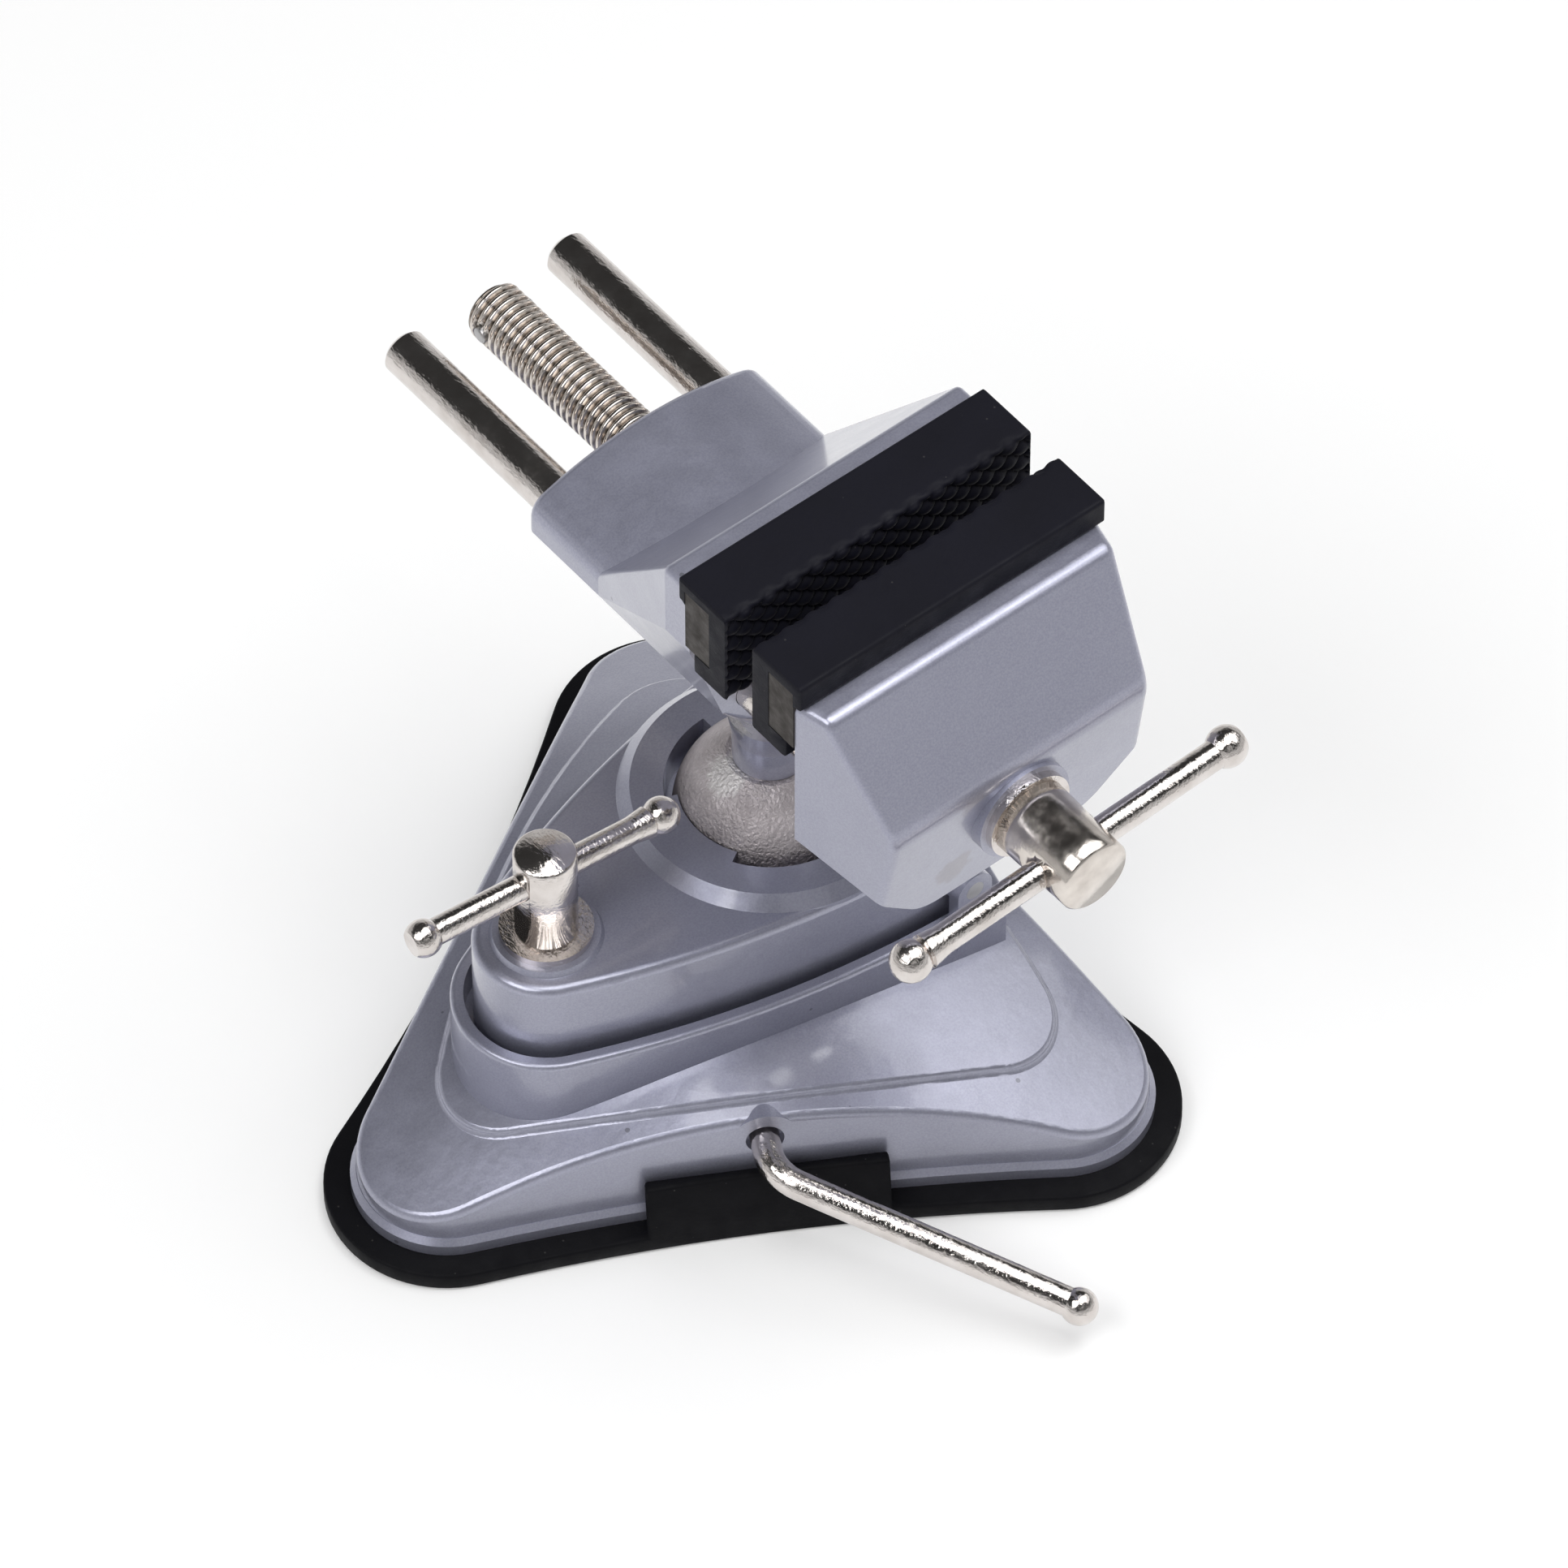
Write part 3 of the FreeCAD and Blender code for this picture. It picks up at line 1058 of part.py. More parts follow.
def build_rear_jaw():
    height = "RearRimTop - RearBowlTop + Overrun"
    plan = padded("rear_plan", "XY_Plane", [
        ("-RearBlockHalfWidth", "RearBlockBack"),
        ("-RearBlockHalfWidth", "RearCrease"),
        ("-RearRimHalfWidth", "RearRimBack"),
        ("-RearRimHalfWidth", "RearFace"),
        ("RearRimHalfWidth", "RearFace"),
        ("RearRimHalfWidth", "RearRimBack"),
        ("RearBlockHalfWidth", "RearCrease"),
        ("RearBlockHalfWidth", "RearBlockBack"),
    ], height, ("BallX", "0", "RearBowlTop"))
    wedge = padded("rear_wedge", "YZ_Plane", [
        ("RearSlopeFoot", "RearBowlTop"),
        ("RearRimBack", "RearRimTop"),
        ("RearFace + PadBackLip", "RearRimTop"),
        ("RearFace + PadBackLip", "PadBackLipFoot"),
        ("RearFace", "PadBackLipFoot"),
        ("RearFace", "RearBowlTop"),
    ], "2 * (RearRimHalfWidth + Overrun)", ("BallX - RearRimHalfWidth - Overrun", "0", "0"))
    flare = padded("rear_flare", "XZ_Plane", [
        ("-RearBlockHalfWidth", "RearBowlTop"),
        ("RearBlockHalfWidth", "RearBowlTop"),
        ("RearRimHalfWidth", "RearFlareTop"),
        ("RearRimHalfWidth", "RearRimTop + Overrun"),
        ("-RearRimHalfWidth", "RearRimTop + Overrun"),
        ("-RearRimHalfWidth", "RearFlareTop"),
    ], "RearBlockBack - RearFace + 2 * Overrun", ("BallX", "RearBlockBack + Overrun", "0"))
    rim_top = reading("RearRimTop")

    def jaw_edge(middle, side, top):
        if top.z < STEP_SIDE_SHARE or top.getAngle(side) < SHARP_TURN:
            return False
        slope = top.y > STEP_SIDE_SHARE and abs(side.x) > TOP_SHARE
        return slope or abs(middle.z - rim_top) < rim_top * RING_SHARE / 2 and (abs(side.x) > TOP_SHARE
                                                                                  or side.y > STEP_SIDE_SHARE)

    jaw = soften("rear_jaw_edges", common("rear_upper_jaw", plan, wedge, flare), "RearEdgeRound", jaw_edge)
    arch = common(
        "rear_arch",
        cylinder("rear_arch_round", "RearArchRadius", "RearBlockBack",
                 ("BallX", "0", "RearArchTop - RearArchRadius"), ALONG_Y),
        box("rear_arch_box", "2 * RearBlockHalfWidth", "RearBlockBack", "RearArchTop - RearBowlTop + Overrun",
            ("BallX - RearBlockHalfWidth", "0", "RearBowlTop")),
    )
    back = reading("RearBlockBack")
    low = reading("RearBowlTop")

    def arch_side(middle, side, top):
        return abs(side.x) > TOP_SHARE and top.z > TOP_SHARE

    def arch_back(middle, first, second):
        return abs(middle.y - back) < back * RING_SHARE and middle.z > low * (1 + RING_SHARE)

    sided = soften("rear_arch_sides", arch, "RearArchRound", arch_side)
    block = soften("rear_block", sided, f"RearBlockHalfWidth * {BOWL_SHARES[0][-1]}", arch_back)
    sections = [
        jaw_section(f"RearBlockHalfWidth * {half_share}", f"RearFace * {front}", f"RearBlockBack * {rear}",
                    f"RearBowlTop - (RearBowlTop - NeckTop) * {drop}",
                    f"RearBlockHalfWidth * {front_corner}", f"RearBlockHalfWidth * {rear_corner}")
        for drop, half_share, front, rear, front_corner, rear_corner in BOWL_SHARES
    ]
    neck_corner = f"NeckRadius * {NECK_CORNER_SHARE}"
    sections.append(jaw_section("NeckRadius", "-NeckRadius", "NeckRadius", "NeckTop",
                                neck_corner, neck_corner))
    bowl = solid("rear_bowl", Part.makeLoft(sections, True, True))
    neck = cylinder("rear_neck", "NeckRadius", "NeckTop - BallHeight - BallFlat - RunningFit + NeckLap",
                    ("BallX", "0", "BallHeight + BallFlat + RunningFit"))
    body = fuse("rear_body", jaw, block, bowl, neck)
    screw_bore = turned("rear_screw_bore", [
        ("0", "RearFace - Overrun"), ("ScrewRadius + RunningFit", "RearFace - Overrun"),
        ("ScrewRadius + RunningFit", "RearBlockBack + Overrun"), ("0", "RearBlockBack + Overrun"),
    ], ("BallX", "0", "JawAxisHeight"), ALONG_Y)
    rod_bores = [
        cylinder(f"rear_rod_bore_{name}", "RodRadius + RunningFit", "RearBlockBack - RearFace + 2 * Overrun",
                 (f"BallX + {side} * RodX", "RearFace - Overrun", "JawAxisHeight"), ALONG_Y)
        for name, side in (("left", "-1"), ("right", "1"))
    ]
    ball_screw_bore = cylinder(
        "rear_ball_screw_bore", "BallScrewRadius + RunningFit",
        "BallScrewLength - BallScrewHeadDepth - BallFlat + 2 * Overrun",
        ("BallX", "0", "BallHeight + BallFlat - Overrun"))
    holes = jaw_screw_holes("rear", "RearFace", "1")
    return cut("rear_jaw", body, screw_bore, ball_screw_bore, *rod_bores, *holes)


PLATE_MIDDLE = "(PlateBottom + PlateTop) / 2"


def jaw_screw_holes(jaw, face, inwards):
    """Blind holes for the two screws that hold a jaw plate."""
    turn = ALONG_Y if inwards == "1" else ALONG_MINUS_Y
    length = "JawScrewLength - (PlateThickness - JawScrewHeadHeight) + BodyGap"
    return [
        cylinder(f"{jaw}_plate_hole_{name}", "JawScrewRadius + PressFit", f"{length} + Overrun",
                 (f"BallX + {side} * JawScrewSpacing", f"{face} - {inwards} * Overrun", PLATE_MIDDLE), turn)
        for name, side in (("left", "-1"), ("right", "1"))
    ]


def build_jaw_facing(jaw, face, inwards):
    """Steel plate, its two screws and its rubber cover. Inwards is 1 for the rear jaw, -1 for the front."""
    turn = ALONG_Y if inwards == "1" else ALONG_MINUS_Y
    plate_start = f"{face} - PlateThickness" if inwards == "1" else face
    blank = box(f"{jaw}_plate_blank", "2 * PlateHalfLength", "PlateThickness", "PlateTop - PlateBottom",
                ("BallX - PlateHalfLength", plate_start, "PlateBottom"))
    screws = []
    holes = []
    for name, side in (("left", "-1"), ("right", "1")):
        spot = (f"BallX + {side} * JawScrewSpacing", f"{face} - {inwards} * PlateThickness", PLATE_MIDDLE)
        screws.append(turned(f"{jaw}_screw_{name}", [
            ("0", "0"),
            ("JawScrewHeadRadius", "0"),
            ("JawScrewRadius", "JawScrewHeadHeight"),
            ("JawScrewRadius", "JawScrewHeadHeight + JawScrewLength"),
            ("0", "JawScrewHeadHeight + JawScrewLength"),
        ], spot, turn))
        holes.append(turned(f"{jaw}_hole_{name}", [
            ("0", "0"),
            ("JawScrewHeadRadius + PressFit", "0"),
            ("JawScrewRadius + PressFit", "JawScrewHeadHeight"),
            ("JawScrewRadius + PressFit", "PlateThickness + Overrun"),
            ("0", "PlateThickness + Overrun"),
        ], spot, turn))
    plate = cut(f"{jaw}_jaw_plate", blank, *holes)
    group = fuse(f"{jaw}_jaw_screws", *screws)
    depth = "PlateThickness + PadGripWall"

    def at(distance):
        return f"{face} - {inwards} * ({depth}) + {inwards} * ({distance})"

    cover = padded(f"{jaw}_jaw_pad", "YZ_Plane", [
        (at("0"), "PadBottom"),
        (at("0"), "PadTop"),
        (at(f"{depth} + PadBackLip"), "PadTop"),
        (at(f"{depth} + PadBackLip"), "PadBackLipFoot"),
        (at(depth), "PadBackLipFoot"),
        (at(depth), "PlateTop"),
        (at("PadGripWall"), "PlateTop"),
        (at("PadGripWall"), "PlateBottom"),
        (at("PadLowerLip"), "PlateBottom"),
        (at("PadLowerLip"), "PadBottom"),
    ], "2 * PadHalfLength", ("BallX - PadHalfLength", "0", "0"))
    return [plate, group, cover]


def build_front_jaw():
    side = padded("front_side", "YZ_Plane", [
        ("FrontFace", "FrontBottom"),
        ("FrontFace", "FrontTop"),
        ("FrontTopEdge", "FrontTop"),
        ("FrontCrease", "FrontCreaseHeight"),
        ("FrontFoot", "FrontBottom"),
    ], "2 * (FrontBackHalfWidth + Overrun)", ("BallX - FrontBackHalfWidth - Overrun", "0", "0"))
    plan = padded("front_plan", "XY_Plane", [
        ("-FrontBackHalfWidth", "FrontFace"),
        ("-FrontCreaseHalfWidth", "FrontCrease"),
        ("FrontCreaseHalfWidth", "FrontCrease"),
        ("FrontBackHalfWidth", "FrontFace"),
    ], "FrontTop - FrontBottom", ("BallX", "0", "FrontBottom"))
    x = reading("BallX")
    half = reading("FrontBackHalfWidth + Overrun")
    low_half = reading("FrontBottomHalfWidth")
    cheek = reading("FrontCheekFoot + FrontCheekRise")
    bottom = reading("FrontBottom")
    top = reading("FrontTop + Overrun")
    front_y = reading("FrontCrease - Overrun")
    corners = [
        Vector(x - half, front_y, top), Vector(x - half, front_y, cheek),
        Vector(x - low_half, front_y, bottom), Vector(x + low_half, front_y, bottom),
        Vector(x + half, front_y, cheek), Vector(x + half, front_y, top),
    ]
    rounds = [reading("CastingRound")] + [reading("FrontCheekRound")] * 4 + [reading("CastingRound")]
    apron = solid("front_apron", Part.Face(rounded_wire(corners, rounds)).extrude(
        Vector(0, reading("FrontFace - FrontCrease + 2 * Overrun"), 0)))
    body = common("front_body", side, plan, apron)
    jaw_top = reading("FrontTop")
    crease = reading("FrontCreaseHeight")

    def top_edge(middle, slope, top):
        return (top.z > 1 - RING_SHARE and slope.y < -TOP_SHARE
                and abs(middle.z - jaw_top) < jaw_top * RING_SHARE)

    def crease_edge(middle, lower, upper):
        return lower.y < -TOP_SHARE and upper.y < -TOP_SHARE and abs(middle.z - crease) < crease * RING_SHARE

    def cheek_edge(middle, side, slope):
        return (abs(side.x) > TOP_SHARE and slope.y < -TOP_SHARE and slope.z > STEP_SIDE_SHARE
                and side.getAngle(slope) > 2 * SHARP_TURN)

    body = soften("front_top_edge", body, "FrontTopRound", top_edge)
    body = soften("front_crease", body, "FrontCreaseRound", crease_edge)
    body = soften("front_cheeks", body, "FrontSideRound", cheek_edge)
    boss = cylinder("front_boss", "FrontBossRadius", "FrontFace - FrontBossFace",
                    ("BallX", "FrontFace", "JawAxisHeight"), ALONG_MINUS_Y)
    bossed = fuse("front_bossed", body, boss)
    bore = cylinder("front_screw_bore", "ScrewBoreRadius", "FrontFace - FrontBossFace + 2 * Overrun",
                    ("BallX", "FrontFace + Overrun", "JawAxisHeight"), ALONG_MINUS_Y)
    rod_bores = []
    pin_bores = []
    for name, offset in (("left", "-1"), ("right", "1")):
        rod_bores.append(cylinder(
            f"front_rod_bore_{name}", "RodRadius + PressFit", "RodDepth + BodyGap + Overrun",
            (f"BallX + {offset} * RodX", "FrontFace + Overrun", "JawAxisHeight"), ALONG_MINUS_Y))
        pin_bores.append(cylinder(
            f"front_pin_bore_{name}", "RodPinRadius + PressFit", "RodPinLength",
            (f"BallX + {offset} * RodX", "FrontFace - RodDepth / 2", ROD_PIN_FOOT)))
    holes = jaw_screw_holes("front", "FrontFace", "-1")
    return cut("front_jaw", bossed, bore, *rod_bores, *pin_bores, *holes)


ROD_PIN_FOOT = "JawAxisHeight - RodPinLength / 2"


def build_rods():
    rods = []
    for name, side in (("left", "-1"), ("right", "1")):
        length = "RodTip - FrontFace + RodDepth"
        rod = turned(f"rod_blank_{name}", [
            ("0", "0"), ("RodRadius", "0"),
            ("RodRadius", f"{length} - RodChamfer"),
            ("RodRadius - RodChamfer", length), ("0", length),
        ], (f"BallX + {side} * RodX", "FrontFace - RodDepth", "JawAxisHeight"), ALONG_Y)
        hole = cylinder(f"rod_pin_hole_{name}", "RodPinRadius + PressFit", "RodPinLength",
                        (f"BallX + {side} * RodX", "FrontFace - RodDepth / 2", ROD_PIN_FOOT))
        rods.append(cut(f"guide_rod_{name}", rod, hole))
    pins = fuse("rod_pins", *[
        cylinder(f"rod_pin_{name}", "RodPinRadius", "RodPinLength",
                 (f"BallX + {side} * RodX", "FrontFace - RodDepth / 2", ROD_PIN_FOOT))
        for name, side in (("left", "-1"), ("right", "1"))
    ])
    return rods + [pins]


def build_main_screw():
    groove = "FrontFace + RunningFit"
    washer_foot = "FrontBossFace"
    hub_foot = "FrontBossFace - WasherThickness"
    blank = turned("main_screw_blank", [
        ("0", "HubEnd"),
        ("HubEndRadius - HubChamfer", "HubEnd"),
        ("HubEndRadius", "HubEnd + HubChamfer"),
        ("HubRadius", hub_foot),
        ("ScrewRadius", hub_foot),
        ("ScrewRadius", groove),
        ("ScrewRadius - RetainerGroove", groove),
        ("ScrewRadius - RetainerGroove", f"{groove} + RetainerThickness"),
        ("ScrewRadius", f"{groove} + RetainerThickness"),
        ("ScrewRadius", "ScrewTip - ScrewChamfer"),
        ("ScrewRadius - ScrewChamfer", "ScrewTip"),
        ("0", "ScrewTip"),
    ], ("BallX", "0", "JawAxisHeight"), ALONG_Y)
    washer = turned("main_screw_washer", [
        ("ScrewRadius + RunningFit", hub_foot),
        ("WasherRadius", hub_foot),
        ("WasherRadius", washer_foot),
        ("ScrewRadius + RunningFit", washer_foot),
    ], ("BallX", "0", "JawAxisHeight"), ALONG_Y)
    retainer = turned("screw_retainer", [
        ("ScrewRadius - RetainerGroove", groove),
        ("RetainerRadius", groove),
        ("RetainerRadius", f"{groove} + RetainerThickness"),
        ("ScrewRadius - RetainerGroove", f"{groove} + RetainerThickness"),
    ], ("BallX", "0", "JawAxisHeight"), ALONG_Y)
    bar_turn = Rotation(Vector(0, 1, 0), 90 - SIZES["BarAngle"])
    along = bar_turn.multVec(Vector(0, 0, 1))
    bore = document.addObject("Part::Cylinder", "main_bar_bore")
    follow(bore, Radius="BarRadius + RunningFit", Height="4 * HubRadius")
    bore.Placement = Placement(Vector(), bar_turn)
    for axis, (name, start) in enumerate(zip("xyz", ("BallX", "BarY", "JawAxisHeight"))):
        bore.setExpression(f"Placement.Base.{name}", bound(f"{start} - 2 * HubRadius * {along[axis]:.12f}"))
    pin_hole = cylinder("stop_pin_hole", "StopPinRadius + PressFit", "4 * ScrewRadius",
                        ("BallX - 2 * ScrewRadius", "StopPinY", "JawAxisHeight"), ALONG_X)
    screw = cut("main_screw", blank, bore, pin_hole)
    pin = cylinder("stop_pin", "StopPinRadius", "2 * StopPinHalfLength",
                   ("BallX - StopPinHalfLength", "StopPinY", "JawAxisHeight"), ALONG_X)
    bars = cross_bar("main_bar", "BarRadius", "BarBallRadius", "BarHalf", "main_bar_cap",
                     ("BallX", "BarY", "JawAxisHeight"), bar_turn, "0")
    return [screw, washer, retainer, pin] + bars


NODES = [build_base()]
NODES += build_sole()
NODES += build_lift()
NODES += build_lever()
NODES += build_clamp_plate()
NODES += build_clamp_screw()
NODES += build_ball()
NODES += [build_rear_jaw()]
NODES += build_jaw_facing("rear", "RearFace", "1")
NODES += [build_front_jaw()]
NODES += build_jaw_facing("front", "FrontFace", "-1")
NODES += build_rods()
NODES += build_main_screw()

document.recompute()

for item in document.Objects:
    if "Invalid" in item.State or "Error" in item.State:
        raise RuntimeError(f"{item.Label} did not build: {item.State}")
for node in NODES:
    if node.Shape.isNull() or not node.Shape.isValid():
        raise RuntimeError(f"{node.Label} has no valid shape")

os.makedirs("parts", exist_ok=True)
for node in NODES:
    node.Shape.exportStep(f"parts/{node.Label}.step")
    box_of = node.Shape.BoundBox
    print(f"{node.Label}: {len(node.Shape.Solids)} solid(s), {node.Shape.Volume / 1000:.2f} cm3, "
          f"x {box_of.XMin:.1f}..{box_of.XMax:.1f} y {box_of.YMin:.1f}..{box_of.YMax:.1f} "
          f"z {box_of.ZMin:.1f}..{box_of.ZMax:.1f}")
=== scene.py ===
# %% [markdown]
# # A suction base vise, dressed from its frame
# The vise is a small cast bench tool: a three-lobed base that a rubber sole holds down, a ball
# clamped under a leaf-shaped plate, and a head with two jaws. Its solids come ready made, so this
# lesson gives them light, a camera, and the finishes that the real tool has: sprayed silver paint,
# bright nickel, blasted steel and black rubber. Pieces whose real surface is finer than the solids
# hold, such as the screw's thread and the studded jaw covers, are built here.

# %% Load the frame
import bmesh
import bpy
import json
import math
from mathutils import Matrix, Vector


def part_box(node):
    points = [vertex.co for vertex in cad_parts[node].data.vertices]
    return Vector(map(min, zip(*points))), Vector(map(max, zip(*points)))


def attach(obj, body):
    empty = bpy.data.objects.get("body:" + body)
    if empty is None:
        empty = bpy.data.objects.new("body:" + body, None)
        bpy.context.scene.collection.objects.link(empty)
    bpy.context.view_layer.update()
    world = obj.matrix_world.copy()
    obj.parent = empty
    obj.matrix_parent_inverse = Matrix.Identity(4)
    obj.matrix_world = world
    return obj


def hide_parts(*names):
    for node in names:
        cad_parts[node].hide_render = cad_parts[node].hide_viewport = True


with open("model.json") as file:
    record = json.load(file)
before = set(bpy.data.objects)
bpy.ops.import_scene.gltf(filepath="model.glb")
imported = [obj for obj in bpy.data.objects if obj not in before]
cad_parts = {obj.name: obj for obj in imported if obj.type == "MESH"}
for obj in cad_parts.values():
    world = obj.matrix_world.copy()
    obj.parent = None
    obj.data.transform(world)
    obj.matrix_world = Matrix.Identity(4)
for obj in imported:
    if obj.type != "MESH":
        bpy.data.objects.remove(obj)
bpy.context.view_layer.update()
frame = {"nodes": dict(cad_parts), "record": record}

MM = 0.001
scene = bpy.context.scene
nodes = frame["nodes"]

# %% [markdown]
# ## Camera
# A product photographer stands well back and uses a long lens, so that parallel edges stay nearly
# parallel. The vise was seen from 2.5 m away, half from above and from its left front. The camera
# aims at a point near the ball's neck. A straight line from there, a distance and a lens say all.

# %% Place the camera
TARGET = Vector((14.92, 1.22, 54.88)) * MM
AZIMUTH = math.radians(-39.11)
ELEVATION = math.radians(50.96)
DISTANCE = 2.5

back = Vector((math.sin(AZIMUTH) * math.cos(ELEVATION),
               -math.cos(AZIMUTH) * math.cos(ELEVATION),
               math.sin(ELEVATION)))
camera_data = bpy.data.cameras.new("camera")
camera_data.sensor_width = 36
camera_data.lens = 312
camera_data.clip_start = 0.1
camera_data.clip_end = 20
camera = bpy.data.objects.new("camera", camera_data)
camera.location = TARGET + back * DISTANCE
camera.rotation_mode = "QUATERNION"
camera.rotation_quaternion = (-back).to_track_quat("-Z", "Y")
scene.collection.objects.link(camera)
scene.camera = camera
print("camera at", [round(c, 3) for c in camera.location])

# %% [markdown]
# ## Room
# Bright metal shows the room, so the room is part of the finish. A white floor and a pale horizon
# give the broad silver, and the dim ceiling gives the rods the dark band along their tops. Large
# soft lamps give the long streaks. The camera and the mirrors see the floor a little brighter than
# its light makes it, which keeps the page white and still leaves the shadow. Only the camera sees
# a white sky.

# %% Colour settings
scene.view_settings.view_transform = "Standard"
print("view transform:", scene.view_settings.view_transform)


# %% A helper for node trees
def put(tree, kind, place=(0, 0), **settings):
    """Add a node, and set its properties and the default values of its named or numbered inputs."""
    node = tree.nodes.new(kind)
    node.location = place
    for name, value in settings.items():
        if name == "inputs":
            for socket, number in value.items():
                node.inputs[socket].default_value = number
        else:
            setattr(node, name, value)
    return node


# %% Floor
FLOOR_HALF = 6.0
FLOOR_DROP = 0.4 * MM            # just below the sole, so that the two faces don't flicker
FLOOR_GREY = (0.8, 0.8, 0.8, 1)
PAGE_LIFT = 0.22
WHITE = (1, 1, 1, 1)


def make_floor():
    mesh = bpy.data.meshes.new("floor")
    floor = bpy.data.objects.new("floor", mesh)
    shape = bmesh.new()
    bmesh.ops.create_grid(shape, x_segments=2, y_segments=2, size=FLOOR_HALF)
    shape.to_mesh(mesh)
    shape.free()
    floor.location.z = -FLOOR_DROP
    scene.collection.objects.link(floor)
    material = bpy.data.materials.new("floor_white")
    material.use_nodes = True
    tree = material.node_tree
    tree.nodes.clear()
    lit = put(tree, "ShaderNodeBsdfDiffuse", (-200, 100), inputs={"Color": FLOOR_GREY})
    page = put(tree, "ShaderNodeEmission", (-200, -60), inputs={"Color": WHITE, "Strength": PAGE_LIFT})
    rays = put(tree, "ShaderNodeLightPath", (-600, 0))
    direct = put(tree, "ShaderNodeMath", (-400, 100), operation="MAXIMUM")
    seen = put(tree, "ShaderNodeMath", (-400, -60), operation="MAXIMUM")
    both = put(tree, "ShaderNodeAddShader", (0, 0))
    choose = put(tree, "ShaderNodeMixShader", (200, 60))
    output = put(tree, "ShaderNodeOutputMaterial", (400, 60))
    link = tree.links.new
    link(rays.outputs["Is Camera Ray"], direct.inputs[0])
    link(rays.outputs["Is Transmission Ray"], direct.inputs[1])
    link(direct.outputs[0], seen.inputs[0])
    link(rays.outputs["Is Glossy Ray"], seen.inputs[1])
    link(lit.outputs[0], both.inputs[0])
    link(page.outputs[0], both.inputs[1])
    link(seen.outputs[0], choose.inputs[0])
    link(lit.outputs[0], choose.inputs[1])
    link(both.outputs[0], choose.inputs[2])
    link(choose.outputs[0], output.inputs["Surface"])
    mesh.materials.append(material)
    return floor


print("floor:", make_floor().name)

# %% Sky, bright at the horizon and dim overhead
# Heights on a sphere of radius 1
FADE_FROM = 0.22
FADE_TO = 0.5


def make_sky(low, high, page_level):
    """World whose strength goes from low at the horizon to high overhead. The camera sees page_level."""
    world = bpy.data.worlds.new("studio")
    scene.world = world
    world.use_nodes = True
    tree = world.node_tree
    tree.nodes.clear()
    direction = put(tree, "ShaderNodeTexCoord", (-800, 100))
    split = put(tree, "ShaderNodeSeparateXYZ", (-600, 100))
    fade = put(tree, "ShaderNodeMapRange", (-400, 100), interpolation_type="SMOOTHSTEP",
               inputs={"From Min": FADE_FROM, "From Max": FADE_TO, "To Min": low, "To Max": high})
    rays = put(tree, "ShaderNodeLightPath", (-400, -200))
    strength = put(tree, "ShaderNodeMapRange", (-200, 0), inputs={"To Max": page_level})
    sky = put(tree, "ShaderNodeBackground", (0, 0), inputs={"Color": WHITE})
    output = put(tree, "ShaderNodeOutputWorld", (200, 0))
    link = tree.links.new
    link(direction.outputs["Generated"], split.inputs[0])
    link(split.outputs["Z"], fade.inputs["Value"])
    link(rays.outputs["Is Camera Ray"], strength.inputs["Value"])
    link(fade.outputs[0], strength.inputs["To Min"])
    link(strength.outputs[0], sky.inputs["Strength"])
    link(sky.outputs[0], output.inputs["Surface"])


make_sky(low=0.62, high=0.04, page_level=1.0)
print("sky:", scene.world.name)


# %% Lamps
def make_lamp(name, azimuth, elevation, distance, size, power):
    """Area lamp that aims at the tool, by compass angle from the front, like the camera's."""
    a, e = math.radians(azimuth), math.radians(elevation)
    towards = Vector((math.sin(a) * math.cos(e), -math.cos(a) * math.cos(e), math.sin(e)))
    lamp = bpy.data.lights.new(name, "AREA")
    lamp.shape = "RECTANGLE"
    lamp.size, lamp.size_y = size
    lamp.energy = power
    thing = bpy.data.objects.new(name, lamp)
    thing.location = TARGET + towards * distance
    thing.rotation_mode = "QUATERNION"
    thing.rotation_quaternion = (-towards).to_track_quat("-Z", "Y")
    scene.collection.objects.link(thing)


make_lamp("lamp_above", 20, 80, 1.6, (1.1, 0.9), 12.5)
make_lamp("lamp_front", -15, 40, 1.8, (0.9, 0.5), 0.6)
make_lamp("lamp_right", 68, 56, 1.6, (1.4, 1.1), 9)
make_lamp("lamp_left", -85, 50, 1.6, (1.0, 0.8), 10.5)
print("lamps:", len(bpy.data.lights))

# %% [markdown]
# ## Effects that several finishes share
# A shader group is built once and then placed in each material with its own values. Each group
# below works in the object's own metres, so its grain has a real size: a scale of 1000 means
# features of about a millimetre. The groups put out colours, masks and heights, and the shader
# itself stays in the material.


# %% A helper for shader groups
def new_group(name, inputs, outputs):
    """Empty shader group with its sockets. Returns the tree, its input node and its output node."""
    tree = bpy.data.node_groups.new(name, "ShaderNodeTree")
    for label, kind, value in inputs:
        socket = tree.interface.new_socket(name=label, in_out="INPUT", socket_type=f"NodeSocket{kind}")
        socket.default_value = value
    for label, kind in outputs:
        tree.interface.new_socket(name=label, in_out="OUTPUT", socket_type=f"NodeSocket{kind}")
    return tree, put(tree, "NodeGroupInput", (-1000, 0)), put(tree, "NodeGroupOutput", (800, 0))


def use_group(tree, name, place, **values):
    """Place a group in a material. Underscores in the keywords stand for spaces."""
    node = put(tree, "ShaderNodeGroup", place, node_tree=bpy.data.node_groups[name])
    for label, value in values.items():
        node.inputs[label.replace("_", " ")].default_value = value
    return node


